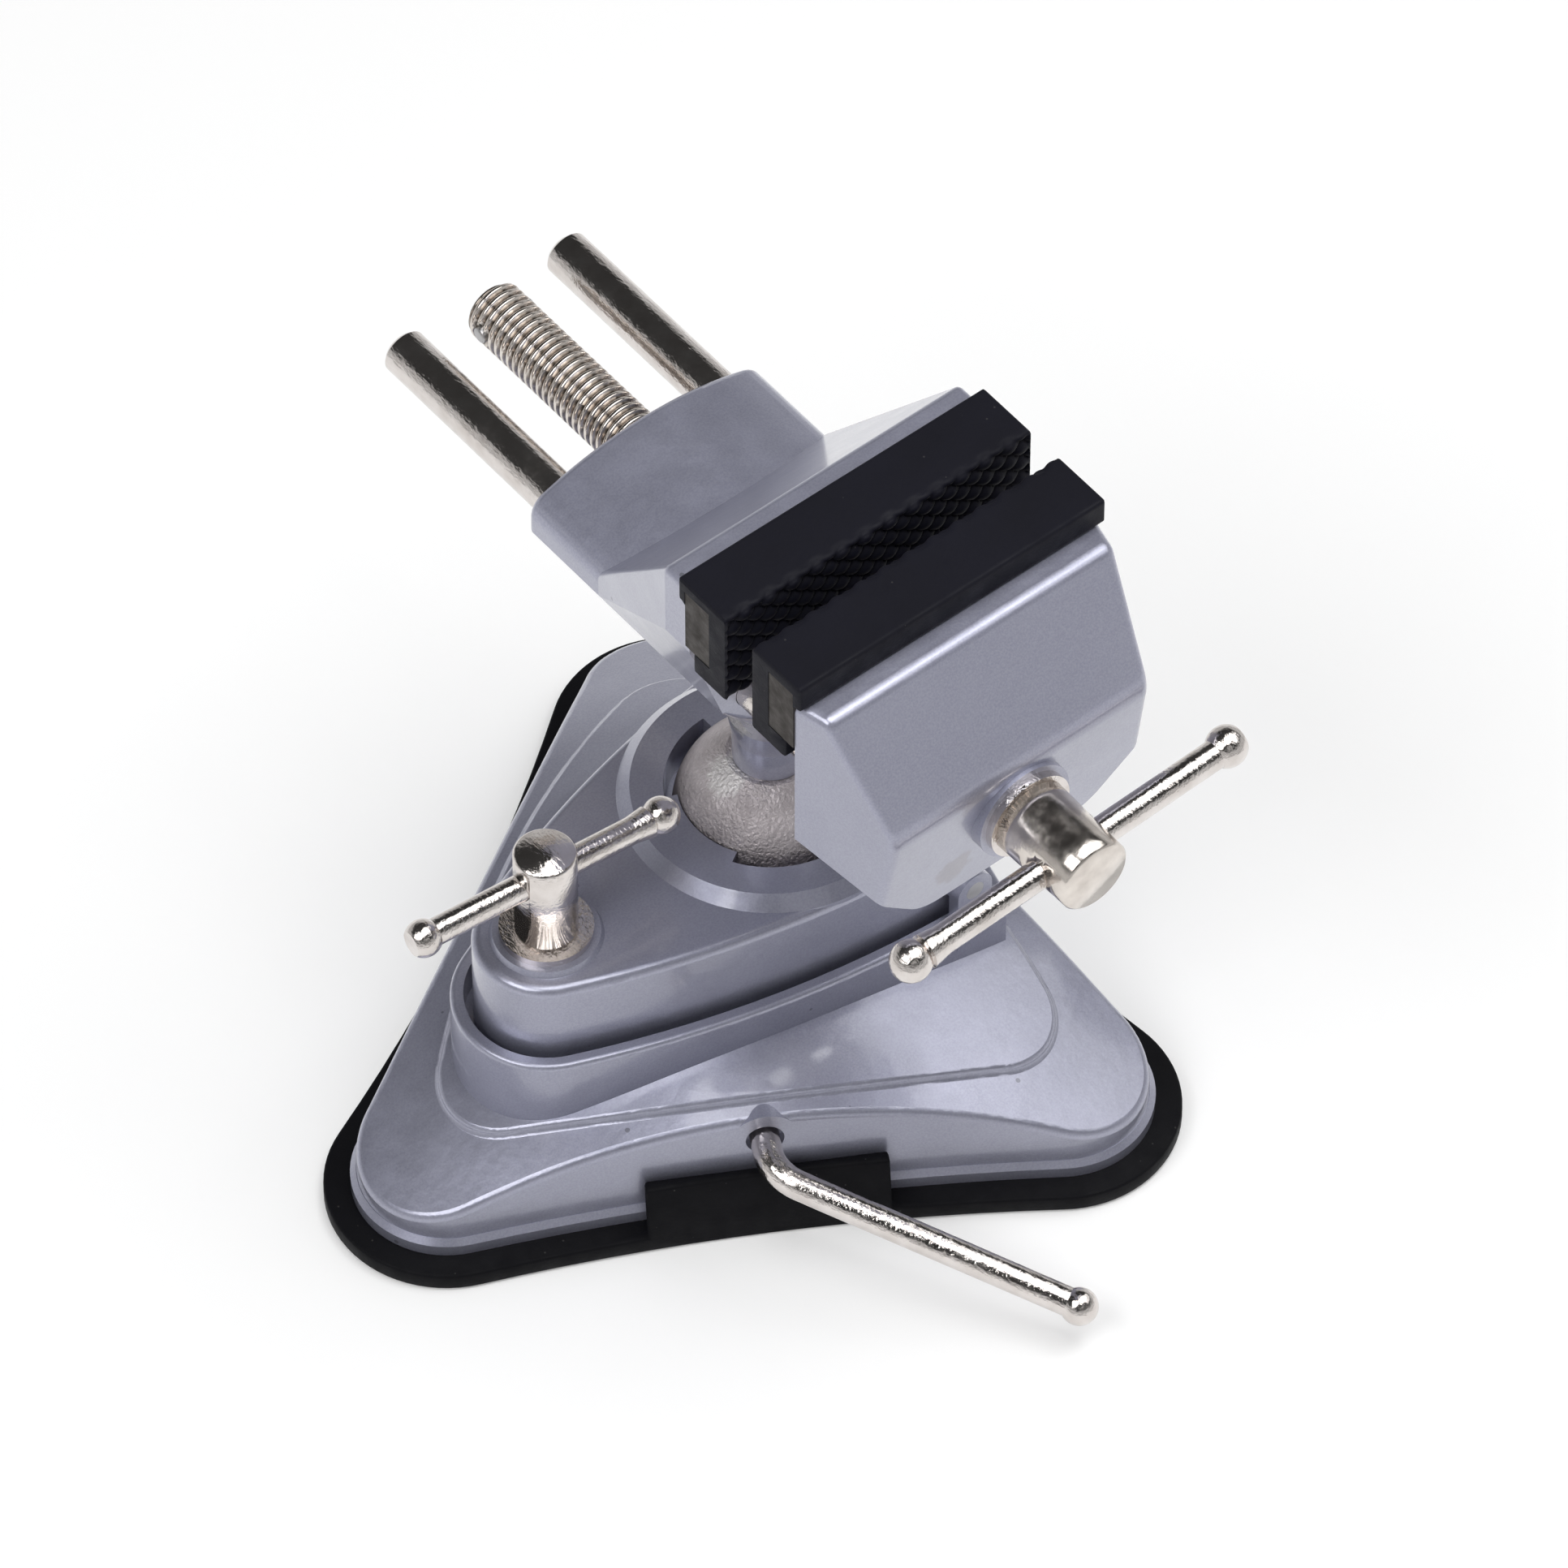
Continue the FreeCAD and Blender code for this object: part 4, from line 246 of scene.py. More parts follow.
# %% Grain: one noise with its own size, detail, floor and ceiling
def build_grain():
    tree, start, end = new_group("grain", [
        ("Scale", "Float", 1000), ("Detail", "Float", 3), ("Stretch", "Vector", (1, 1, 1)),
        ("Low", "Float", 0), ("High", "Float", 1)], [("Value", "Float")])
    place = put(tree, "ShaderNodeTexCoord", (-800, 0))
    stretch = put(tree, "ShaderNodeVectorMath", (-600, 0), operation="MULTIPLY")
    noise = put(tree, "ShaderNodeTexNoise", (-400, 0))
    level = put(tree, "ShaderNodeMapRange", (0, 0), inputs={"From Min": 0.3, "From Max": 0.7})
    link = tree.links.new
    link(place.outputs["Object"], stretch.inputs[0])
    link(start.outputs["Stretch"], stretch.inputs[1])
    link(stretch.outputs[0], noise.inputs["Vector"])
    link(start.outputs["Scale"], noise.inputs["Scale"])
    link(start.outputs["Detail"], noise.inputs["Detail"])
    link(noise.outputs["Fac"], level.inputs["Value"])
    link(start.outputs["Low"], level.inputs["To Min"])
    link(start.outputs["High"], level.inputs["To Max"])
    link(level.outputs[0], end.inputs["Value"])


build_grain()
print("grain ready")


# %% Specks: dust and lint that lie here and there
def build_specks():
    tree, start, end = new_group("specks", [
        ("Scale", "Float", 200), ("Share", "Float", 0.1), ("Size", "Float", 0.12)], [("Mask", "Float")])
    place = put(tree, "ShaderNodeTexCoord", (-800, 0))
    cells = put(tree, "ShaderNodeTexVoronoi", (-600, 0))
    split = put(tree, "ShaderNodeSeparateColor", (-400, -120))
    near = put(tree, "ShaderNodeMath", (-200, 60), operation="LESS_THAN")
    rest = put(tree, "ShaderNodeMath", (-400, -300), operation="SUBTRACT", inputs={0: 1.0})
    some = put(tree, "ShaderNodeMath", (-200, -120), operation="GREATER_THAN")
    both = put(tree, "ShaderNodeMath", (0, 0), operation="MULTIPLY")
    link = tree.links.new
    link(place.outputs["Object"], cells.inputs["Vector"])
    link(start.outputs["Scale"], cells.inputs["Scale"])
    link(cells.outputs["Distance"], near.inputs[0])
    link(start.outputs["Size"], near.inputs[1])
    link(cells.outputs["Color"], split.inputs[0])
    link(start.outputs["Share"], rest.inputs[1])
    link(split.outputs[0], some.inputs[0])
    link(rest.outputs[0], some.inputs[1])
    link(near.outputs[0], both.inputs[0])
    link(some.outputs[0], both.inputs[1])
    link(both.outputs[0], end.inputs["Mask"])


build_specks()
print("specks ready")


# %% Hollow: how deep a point lies below the crest of a thread along Y
def build_hollow():
    """Mask of a thread's roots, where shade is painted. It is 0 inside the core, so the screw's end face
    gets no painted shade.
    """
    tree, start, end = new_group("hollow", [
        ("Axis", "Vector", (0, 0, 0)), ("Crest", "Float", 0.006), ("Depth", "Float", 0.001),
        ("Core", "Float", 0.0048), ("From Y", "Float", 0.0)], [("Mask", "Float")])
    place = put(tree, "ShaderNodeTexCoord", (-800, 0))
    away = put(tree, "ShaderNodeVectorMath", (-600, 0), operation="SUBTRACT")
    across = put(tree, "ShaderNodeVectorMath", (-400, 0), operation="MULTIPLY", inputs={1: (1, 0, 1)})
    reach = put(tree, "ShaderNodeVectorMath", (-200, 0), operation="LENGTH")
    below = put(tree, "ShaderNodeMath", (0, 0), operation="SUBTRACT")
    share = put(tree, "ShaderNodeMath", (200, 0), operation="DIVIDE", use_clamp=True)
    link = tree.links.new
    link(place.outputs["Object"], away.inputs[0])
    link(start.outputs["Axis"], away.inputs[1])
    link(away.outputs[0], across.inputs[0])
    link(across.outputs[0], reach.inputs[0])
    link(start.outputs["Crest"], below.inputs[0])
    link(reach.outputs["Value"], below.inputs[1])
    link(below.outputs[0], share.inputs[0])
    link(start.outputs["Depth"], share.inputs[1])
    split = put(tree, "ShaderNodeSeparateXYZ", (-600, -200))
    past = put(tree, "ShaderNodeMath", (0, -200), operation="GREATER_THAN")
    outside = put(tree, "ShaderNodeMath", (0, -350), operation="GREATER_THAN")
    limits = put(tree, "ShaderNodeMath", (200, -250), operation="MULTIPLY")
    both = put(tree, "ShaderNodeMath", (400, 0), operation="MULTIPLY")
    link(place.outputs["Object"], split.inputs[0])
    link(split.outputs["Y"], past.inputs[0])
    link(start.outputs["From Y"], past.inputs[1])
    link(reach.outputs["Value"], outside.inputs[0])
    link(start.outputs["Core"], outside.inputs[1])
    link(past.outputs[0], limits.inputs[0])
    link(outside.outputs[0], limits.inputs[1])
    link(share.outputs[0], both.inputs[0])
    link(limits.outputs[0], both.inputs[1])
    link(both.outputs[0], end.inputs["Mask"])


build_hollow()
print("hollow ready")


# %% Patch: a soft ragged spot round a point, for wear and for a rough gate mark
def build_patch():
    tree, start, end = new_group("patch", [
        ("Centre", "Vector", (0, 0, 0)), ("Radius", "Float", 0.005), ("Ragged", "Float", 900)],
        [("Mask", "Float")])
    place = put(tree, "ShaderNodeTexCoord", (-800, 0))
    away = put(tree, "ShaderNodeVectorMath", (-600, 0), operation="DISTANCE")
    share = put(tree, "ShaderNodeMath", (-400, 0), operation="DIVIDE")
    noise = put(tree, "ShaderNodeTexNoise", (-600, -220), inputs={"Detail": 4})
    torn = put(tree, "ShaderNodeMath", (-200, 0), operation="ADD")
    mask = put(tree, "ShaderNodeMapRange", (0, 0), interpolation_type="SMOOTHSTEP",
               inputs={"From Min": 1.55, "From Max": 1.15})
    link = tree.links.new
    link(place.outputs["Object"], away.inputs[0])
    link(start.outputs["Centre"], away.inputs[1])
    link(away.outputs["Value"], share.inputs[0])
    link(start.outputs["Radius"], share.inputs[1])
    link(place.outputs["Object"], noise.inputs["Vector"])
    link(start.outputs["Ragged"], noise.inputs["Scale"])
    link(share.outputs[0], torn.inputs[0])
    link(noise.outputs["Fac"], torn.inputs[1])
    link(torn.outputs[0], mask.inputs["Value"])
    link(mask.outputs[0], end.inputs["Mask"])


build_patch()
print("shader groups:", sorted(group.name for group in bpy.data.node_groups))

# %% [markdown]
# ## Finishes
# Each finish starts from one Principled shader with plain values for what is the same all over.
# Small helpers then vary the colour and the roughness and raise a fine relief, so that no surface
# is one flat colour. The record's own slot names tell which node wears which finish.


# %% Helpers for finishes
def new_finish(name, metallic, roughness, coat=0.0, coat_roughness=0.1):
    material = bpy.data.materials.new(name)
    material.use_nodes = True
    shader = material.node_tree.nodes["Principled BSDF"]
    shader.inputs["Metallic"].default_value = metallic
    shader.inputs["Roughness"].default_value = roughness
    shader.inputs["Coat Weight"].default_value = coat
    shader.inputs["Coat Roughness"].default_value = coat_roughness
    return material, material.node_tree, shader


def mix_colours(tree, place, mask, under, over):
    """Colour that goes from under to over as the mask goes from 0 to 1. Each is a colour or a socket."""
    mix = put(tree, "ShaderNodeMix", place, data_type="RGBA")
    tree.links.new(mask, mix.inputs["Factor"])
    for name, colour in (("A", under), ("B", over)):
        socket = next(s for s in mix.inputs if s.name == name and s.type == "RGBA")
        if isinstance(colour, tuple):
            socket.default_value = (*colour, 1)
        else:
            tree.links.new(colour, socket)
    return next(s for s in mix.outputs if s.type == "RGBA")


def weaker(tree, place, group, factor):
    """What a group puts out, times a factor."""
    node = put(tree, "ShaderNodeMath", place, operation="MULTIPLY", inputs={1: factor})
    tree.links.new(group.outputs[0], node.inputs[0])
    return node.outputs[0]


def relief(tree, shader, place, *layers):
    """Chain of bumps. A layer is a height socket, its strength and its depth in metres."""
    before = None
    for step, (height, strength, depth) in enumerate(layers):
        bump = put(tree, "ShaderNodeBump", (place[0] + 180 * step, place[1]),
                   inputs={"Strength": strength, "Distance": depth})
        tree.links.new(height, bump.inputs["Height"])
        if before:
            tree.links.new(before.outputs[0], bump.inputs["Normal"])
        before = bump
    tree.links.new(before.outputs[0], shader.inputs["Normal"])


# %% [markdown]
# ### Sprayed paint on the castings
# The castings carry a grey enamel with fine aluminium flake. Seen close it has a faint orange
# peel, tiny sparkling grains and some dust under it. A clear gloss on top gives the thin white
# lights on the rounded edges. Two patches are not clean: the gate mark under the rear jaw's neck,
# which was ground off and left rough, and a faint rubbed spot low on the front jaw.

# %% Casting paint
PAINT = (0.325, 0.33, 0.42)
PAINT_DEEP = (0.295, 0.30, 0.39)
PAINT_FLAKE = (0.55, 0.56, 0.64)
TRAPPED_DUST = (0.10, 0.10, 0.11)
SCUFF = (0.16, 0.13, 0.11)
GROUND_METAL = (0.42, 0.42, 0.44)
GATE_MARK = Vector((2.6, 0.4, 83.5)) * MM
RUBBED_SPOT = Vector((-2.2, -67.4, 109.8)) * MM


def casting_paint():
    material, tree, shader = new_finish("casting_paint", 0.62, 0.36, 0.9, 0.09)
    flake = use_group(tree, "grain", (-900, 300), Scale=2600, Detail=1)
    cloud = use_group(tree, "grain", (-900, 100), Scale=38, Detail=4)
    tone = use_group(tree, "grain", (-900, -100), Scale=160, Detail=4, Low=0.32, High=0.40)
    peel = use_group(tree, "grain", (-900, -300), Scale=420, Detail=2)
    dust = use_group(tree, "specks", (-900, 500), Scale=230, Share=0.05, Size=0.11)
    gate = use_group(tree, "patch", (-900, -500), Centre=GATE_MARK, Radius=4.2 * MM, Ragged=700)
    rubbed = use_group(tree, "patch", (-900, -700), Centre=RUBBED_SPOT, Radius=4.5 * MM, Ragged=520)
    pits = use_group(tree, "grain", (-900, -900), Scale=1100, Detail=5)
    clean = mix_colours(tree, (-600, 200), cloud.outputs[0], PAINT_DEEP, PAINT)
    some_flake = weaker(tree, (-600, 420), flake, 0.22)
    sparkling = mix_colours(tree, (-450, 300), some_flake, clean, PAINT_FLAKE)
    some_dust = weaker(tree, (-450, 520), dust, 0.55)
    dusty = mix_colours(tree, (-300, 300), some_dust, sparkling, TRAPPED_DUST)
    some_wear_and_highlight = weaker(tree, (-450, -650), rubbed, 0.35)
    scuffed = mix_colours(tree, (-150, 200), some_wear_and_highlight, dusty, SCUFF)
    bare = mix_colours(tree, (0, 200), gate.outputs[0], scuffed, GROUND_METAL)
    tree.links.new(bare, shader.inputs["Base Color"])
    tree.links.new(tone.outputs[0], shader.inputs["Roughness"])
    rough = put(tree, "ShaderNodeMath", (-600, -820), operation="MULTIPLY")
    tree.links.new(gate.outputs[0], rough.inputs[0])
    tree.links.new(pits.outputs[0], rough.inputs[1])
    relief(tree, shader, (-500, -300), (peel.outputs[0], 0.12, 0.2 * MM),
           (flake.outputs[0], 0.05, 0.05 * MM), (rough.outputs[0], 0.8, 0.7 * MM))
    return material


finishes = {"casting_paint": casting_paint()}
print("paint nodes:", len(finishes["casting_paint"].node_tree.nodes))

# %% [markdown]
# ### Bright nickel
# Rods, bars and hubs are steel with a thin coat of bright nickel, which has a warm tint. Drawing and
# barrel polishing leave it slightly wavy and finely pitted, so its dark reflections look mottled
# and not like glass. The pitting is a relief far smaller than a millimetre, and the roughness
# changes gently where hands have touched it.

# %% Nickel finishes
NICKEL_BRIGHT = (0.74, 0.70, 0.675)
NICKEL_DULL = (0.62, 0.575, 0.545)


def nickel(name, colour, dull, lines, low, high, pit):
    """Bright plating. Lines stretches its waves, low and high bound its roughness, pit is its pitting."""
    material, tree, shader = new_finish(name, 1.0, low)
    touch = use_group(tree, "grain", (-900, 200), Scale=90, Detail=4, Low=low, High=high)
    cloud = use_group(tree, "grain", (-900, 0), Scale=260, Detail=5)
    fine = use_group(tree, "grain", (-900, -200), Scale=1500, Detail=3, Stretch=lines)
    wave = use_group(tree, "grain", (-900, -400), Scale=190, Detail=1, Stretch=lines)
    tinted = mix_colours(tree, (-500, 100), cloud.outputs[0], dull, colour)
    tree.links.new(tinted, shader.inputs["Base Color"])
    tree.links.new(touch.outputs[0], shader.inputs["Roughness"])
    relief(tree, shader, (-500, -300), (wave.outputs[0], 0.10, 0.2 * MM),
           (fine.outputs[0], pit, 0.06 * MM))
    return material


finishes["nickel"] = nickel("nickel", NICKEL_BRIGHT, NICKEL_DULL, (1, 0.5, 1), 0.07, 0.2, 0.8)
print("nickel ready")

# %% Screw nickel, with painted shade in the thread's roots
SCREW_AXIS = Vector((10.8, 0, 120.2)) * MM
SCREW_BRIGHT = (0.74, 0.69, 0.64)
SCREW_DULL = (0.56, 0.51, 0.47)
# Painted shade for the thread's roots: the deeper a point lies below the crest, the darker it is.
ROOT_SHADE = (0.10, 0.075, 0.055)
SHADE_CREST = 5.8 * MM
SHADE_DEPTH = 0.9 * MM
SHADE_FROM = -46.3 * MM          # behind the hub, where the thread begins


def screw_nickel():
    material, tree, shader = new_finish("screw_nickel", 1.0, 0.18)
    cloud = use_group(tree, "grain", (-900, 0), Scale=260, Detail=5)
    touch = use_group(tree, "grain", (-900, 200), Scale=400, Detail=4, Low=0.12, High=0.26)
    root = use_group(tree, "hollow", (-900, -200), Axis=SCREW_AXIS, Crest=SHADE_CREST,
                     Depth=SHADE_DEPTH, From_Y=SHADE_FROM)
    fine = use_group(tree, "grain", (-900, -400), Scale=1500, Detail=3)
    tinted = mix_colours(tree, (-600, 100), cloud.outputs[0], SCREW_DULL, SCREW_BRIGHT)
    # Painted shade: the thread's roots are darkened by their depth below the crest.
    root_shaded = mix_colours(tree, (-400, 100), root.outputs[0], tinted, ROOT_SHADE)
    tree.links.new(root_shaded, shader.inputs["Base Color"])
    tree.links.new(touch.outputs[0], shader.inputs["Roughness"])
    relief(tree, shader, (-500, -300), (fine.outputs[0], 0.15, 0.05 * MM))
    return material


finishes["screw_nickel"] = screw_nickel()
print("screw nickel ready")

# %% [markdown]
# ### Blasted steel, plate steel and rubber
# The ball was blasted with grit to let the collar hold it, which leaves a sparkling grain, and a
# bright patch on its top is a painted highlight. The jaw plates are hot-rolled flat bar with brown
# scale. The rubber of the sole and the jaw covers is nearly black, dull, and always holds some pale dust.

# %% Ball steel
# Painted highlight: a bright patch on the ball's top stands for the light that falls on it.
HIGHLIGHT_SPOT = Vector((1.2, 1.1, 68.3)) * MM
BLASTED_DARK = (0.39, 0.355, 0.365)
BLASTED_PALE = (0.60, 0.555, 0.57)
PAINTED_HIGHLIGHT = (0.80, 0.79, 0.78)


def blasted_steel():
    material, tree, shader = new_finish("blasted_steel", 1.0, 0.5)
    grit = use_group(tree, "grain", (-900, 300), Scale=1500, Detail=4)
    cloud = use_group(tree, "grain", (-900, 100), Scale=120, Detail=4)
    tone = use_group(tree, "grain", (-900, -100), Scale=900, Detail=4, Low=0.38, High=0.6)
    highlight_patch = use_group(tree, "patch", (-900, -300), Centre=HIGHLIGHT_SPOT, Radius=4.8 * MM, Ragged=650)
    base = mix_colours(tree, (-600, 200), cloud.outputs[0], BLASTED_DARK, BLASTED_PALE)
    # Painted highlight, mixed over the grain on the ball's top.
    some_wear_and_highlight = weaker(tree, (-600, -300), highlight_patch, 0.6)
    highlighted = mix_colours(tree, (-400, 100), some_wear_and_highlight, base, PAINTED_HIGHLIGHT)
    tree.links.new(highlighted, shader.inputs["Base Color"])
    tree.links.new(tone.outputs[0], shader.inputs["Roughness"])
    relief(tree, shader, (-500, -100), (grit.outputs[0], 0.9, 0.2 * MM))
    return material


finishes["blasted_steel"] = blasted_steel()
print("blasted steel ready")


# %% Plate steel
def steel(name, clean, stain, low, high):
    material, tree, shader = new_finish(name, 0.9, low)
    stains = use_group(tree, "grain", (-900, 200), Scale=210, Detail=5)
    tone = use_group(tree, "grain", (-900, 0), Scale=500, Detail=4, Low=low, High=high)
    scratches = use_group(tree, "grain", (-900, -200), Scale=700, Detail=3, Stretch=(0.15, 1, 1))
    colour = mix_colours(tree, (-500, 100), stains.outputs[0], stain, clean)
    tree.links.new(colour, shader.inputs["Base Color"])
    tree.links.new(tone.outputs[0], shader.inputs["Roughness"])
    relief(tree, shader, (-500, -200), (scratches.outputs[0], 0.3, 0.1 * MM))
    return material


finishes["jaw_steel"] = steel("jaw_steel", (0.075, 0.068, 0.064), (0.03, 0.025, 0.022), 0.4, 0.6)
finishes["plain_steel"] = steel("plain_steel", (0.48, 0.48, 0.49), (0.38, 0.37, 0.36), 0.28, 0.4)
print("steels ready")


# %% Rubber
PALE_DUST = (0.22, 0.21, 0.20)
PALER_BY = 1.35


def rubber(name, colour, shine, low, high, grain_size):
    """Nearly black rubber. Shine is its mirror light, low and high bound its roughness."""
    material, tree, shader = new_finish(name, 0.0, low)
    shader.inputs["Specular IOR Level"].default_value = shine
    cloud = use_group(tree, "grain", (-900, 300), Scale=70, Detail=4)
    tone = use_group(tree, "grain", (-900, 100), Scale=240, Detail=4, Low=low, High=high)
    skin = use_group(tree, "grain", (-900, -100), Scale=grain_size, Detail=3)
    dust = use_group(tree, "specks", (-900, 500), Scale=700, Share=0.06, Size=0.14)
    paler = tuple(c * PALER_BY for c in colour)
    base = mix_colours(tree, (-600, 300), cloud.outputs[0], colour, paler)
    dusty = mix_colours(tree, (-400, 300), weaker(tree, (-600, 500), dust, 0.12), base, PALE_DUST)
    tree.links.new(dusty, shader.inputs["Base Color"])
    tree.links.new(tone.outputs[0], shader.inputs["Roughness"])
    relief(tree, shader, (-500, -100), (skin.outputs[0], 0.25, 0.08 * MM))
    return material


finishes["sole_rubber"] = rubber("sole_rubber", (0.0022, 0.0022, 0.0034), 0.12, 0.5, 0.68, 1400)
finishes["cover_rubber"] = rubber("cover_rubber", (0.0040, 0.0040, 0.0082), 0.17, 0.52, 0.68, 1800)
print("rubbers ready")

# %% [markdown]
# ### Which piece wears what
# The frame's record has a row for each node with the name of its finish. One loop over those rows
# dresses all the solids, so a piece can't be missed or get the wrong coat.

# %% Dress the solids
for row in frame["record"]["subparts"]:
    mesh = nodes[row["node"]].data
    mesh.materials.clear()
    mesh.materials.append(finishes[row["material_slot"]])

# %% [markdown]
# ## Pieces finer than the solids
# Some pieces have a real surface that the solids leave out: the threads of the two screws, the
# rounded ends of the stop pin, the studded rubber covers, and the soft edge of the moulded sole.
# Each is built as one closed mesh in the place of its solid and stands for it. Its sizes come from
# the solid's own box, so it can't drift out of place.

# %% Helpers for meshes
WELD = 0.001 * MM


def start_from(node, point=None, away=None):
    """Mesh of a solid, welded, and cut off flat at a point if one is given."""
    shape = bmesh.new()
    shape.from_mesh(nodes[node].data)
    bmesh.ops.remove_doubles(shape, verts=shape.verts, dist=WELD)
    if point is not None:
        everything = [*shape.verts, *shape.edges, *shape.faces]
        bmesh.ops.bisect_plane(shape, geom=everything, plane_co=point, plane_no=away, clear_outer=True)
        close_holes(shape)
    return shape


def close_holes(shape):
    """Fill each open rim with one face."""
    edges = [edge for edge in shape.edges if edge.is_boundary]
    bmesh.ops.holes_fill(shape, edges=edges, sides=0)


def make_piece(name, shape, body, slot, node, crease=32):
    """Object for a node from a closed mesh, smooth except where it turns by more than the crease."""
    bmesh.ops.recalc_face_normals(shape, faces=shape.faces)
    loose = sum(1 for edge in shape.edges if not edge.is_manifold)
    mesh = bpy.data.meshes.new(name)
    shape.to_mesh(mesh)
    shape.free()
    mesh.shade_smooth()
    mesh.set_sharp_from_angle(angle=math.radians(crease))
    mesh.materials.append(finishes[slot])
    piece = bpy.data.objects.new(name, mesh)
    scene.collection.objects.link(piece)
    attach(piece, body)
    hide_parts(node)
    print(f"{name}: {len(mesh.polygons)} faces, {loose} loose edges")
    return piece


print("mesh helpers ready, weld in mm:", WELD / MM)

# %% [markdown]
# ### Threads
# A thread is one ridge that winds along a rod. A stack of separate rings would look nearly the
# same from afar, but its ridges would not rise as they go round. Here the rows of the mesh follow
# the helix itself: each column of points starts a little further along than the last, and after a
# full turn the rows join up one pitch on. At the ends the points are held at the end's place, and
# the doubles there are welded. The hub is kept from the solid, which is cut off where the thread
# begins, and the thread reaches a little way into it.

# %% Thread builder
THREAD_SIDES = 56
# Share of the pitch, and height as a share of the ridge
THREAD_PROFILE_SHARES = (
    (0.0, 0.0), (0.10, 0.12), (0.26, 0.88), (0.36, 1.0), (0.62, 1.0), (0.72, 0.88), (0.88, 0.12))
THREAD_LAP = 0.5 * MM


def add_thread(shape, place, start, end, pitch, crest, root, tip_chamfer, spot_face=None):
    """Threaded rod from start to end, with its ridge between the root and crest radii.

    Place turns an angle, a way along and a radius into a point. Spot_face may move that point.
    """
    rows = len(THREAD_PROFILE_SHARES)
    turns = math.ceil((end - start) / pitch) + 2
    grid = []
    for column in range(THREAD_SIDES):
        angle = math.tau * column / THREAD_SIDES
        points = []
        for row in range(turns * rows):
            share, height = THREAD_PROFILE_SHARES[row % rows]
            along = start + pitch * (row // rows - 1 + share + column / THREAD_SIDES)
            along = min(max(along, start), end)
            radius = root + (crest - root) * height
            if along == start:
                radius = root
            radius = min(radius, crest - tip_chamfer + (end - along))
            point = place(angle, along, radius)
            if spot_face:
                point = spot_face(point, angle, along)
            points.append(shape.verts.new(point))
        grid.append(points)
    for column in range(THREAD_SIDES):
        shift = rows if column == THREAD_SIDES - 1 else 0
        here, there = grid[column], grid[(column + 1) % THREAD_SIDES]
        for row in range(turns * rows - 1 - shift):
            corners = (here[row], here[row + 1], there[row + 1 + shift], there[row + shift])
            shape.faces.new(corners)
    bmesh.ops.remove_doubles(shape, verts=shape.verts, dist=WELD)
    close_holes(shape)


print("thread profile points:", len(THREAD_PROFILE_SHARES))

# %% Main screw's measures
MAIN_PITCH = 1.75 * MM
MAIN_CREST = 6 * MM
MAIN_ROOT = 4.93 * MM
MAIN_CHAMFER = 1.2 * MM
MAIN_THREAD_FROM = -46 * MM      # between the groove of the snap ring and the first ridge
PIN_HOLE = 2.1 * MM
PIN_HOLE_FLOOR = 5.2 * MM
screw_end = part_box("main_screw")[1].y
pin_low, pin_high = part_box("stop_pin")
screw_x = (pin_low.x + pin_high.x) / 2
screw_z = (pin_low.z + pin_high.z) / 2
pin_y = (pin_low.y + pin_high.y) / 2
print("main screw's axis in mm:", round(screw_x / MM, 2), round(screw_z / MM, 2))


# %% Main screw
def on_main_screw(angle, along, radius):
    """Point of a screw along Y, whose tip is at the back."""
    return Vector((screw_x + radius * math.cos(angle), along, screw_z - radius * math.sin(angle)))


def pin_spot_face(point, angle, along):
    """Flat floor round the stop pin's hole, where the drill cut the ridges away."""
    if math.hypot(along - pin_y, point.z - screw_z) < PIN_HOLE:
        reach = math.hypot(point.x - screw_x, point.z - screw_z)
        return on_main_screw(angle, along, min(reach, PIN_HOLE_FLOOR))
    return point


screw = start_from("main_screw", Vector((0, MAIN_THREAD_FROM, 0)), Vector((0, 1, 0)))
add_thread(screw, on_main_screw, MAIN_THREAD_FROM - THREAD_LAP, screw_end, MAIN_PITCH, MAIN_CREST,
           MAIN_ROOT, MAIN_CHAMFER, pin_spot_face)
make_piece("main_screw_threaded", screw, "main_screw_body", "screw_nickel", "main_screw", crease=50)

# %% Clamp screw
CLAMP_PITCH = 1.25 * MM
CLAMP_CREST = 4 * MM
CLAMP_ROOT = 3.3 * MM
CLAMP_CHAMFER = 0.8 * MM
PLAIN_SHANK = 2.5 * MM
clamp_low, clamp_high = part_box("clamp_screw")
clamp_x = (clamp_low.x + clamp_high.x) / 2
shank_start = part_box("clamp_screw_washer")[0].z - PLAIN_SHANK


def on_clamp_screw(angle, along, radius):
    """Point of a screw that points down, so that along grows towards its tip."""
    return Vector((clamp_x + radius * math.cos(angle), -radius * math.sin(angle), -along))


screw = start_from("clamp_screw", Vector((0, 0, shank_start)), Vector((0, 0, -1)))
add_thread(screw, on_clamp_screw, -(shank_start + THREAD_LAP), -clamp_low.z, CLAMP_PITCH,
           CLAMP_CREST, CLAMP_ROOT, CLAMP_CHAMFER)
make_piece("clamp_screw_threaded", screw, "clamp_screw_body", "nickel", "clamp_screw", crease=50)

# %% [markdown]
# ### Stop pin
# A short pin through the screw's far end stops it from leaving the rear jaw. Its ends are rounded
# and nearly flush with the thread. It is a body of revolution, so its outline is written once and
# turned round the pin's axis.

# %% Stop pin
PIN_HALF = 6.25 * MM
PIN_SIDES = 32
# Way along as a share of half the length, and radius as a share of the pin's
PIN_END_SHARES = ((0.92, 1.0), (0.955, 0.97), (0.985, 0.82), (1.0, 0.55), (1.0, 0.0))


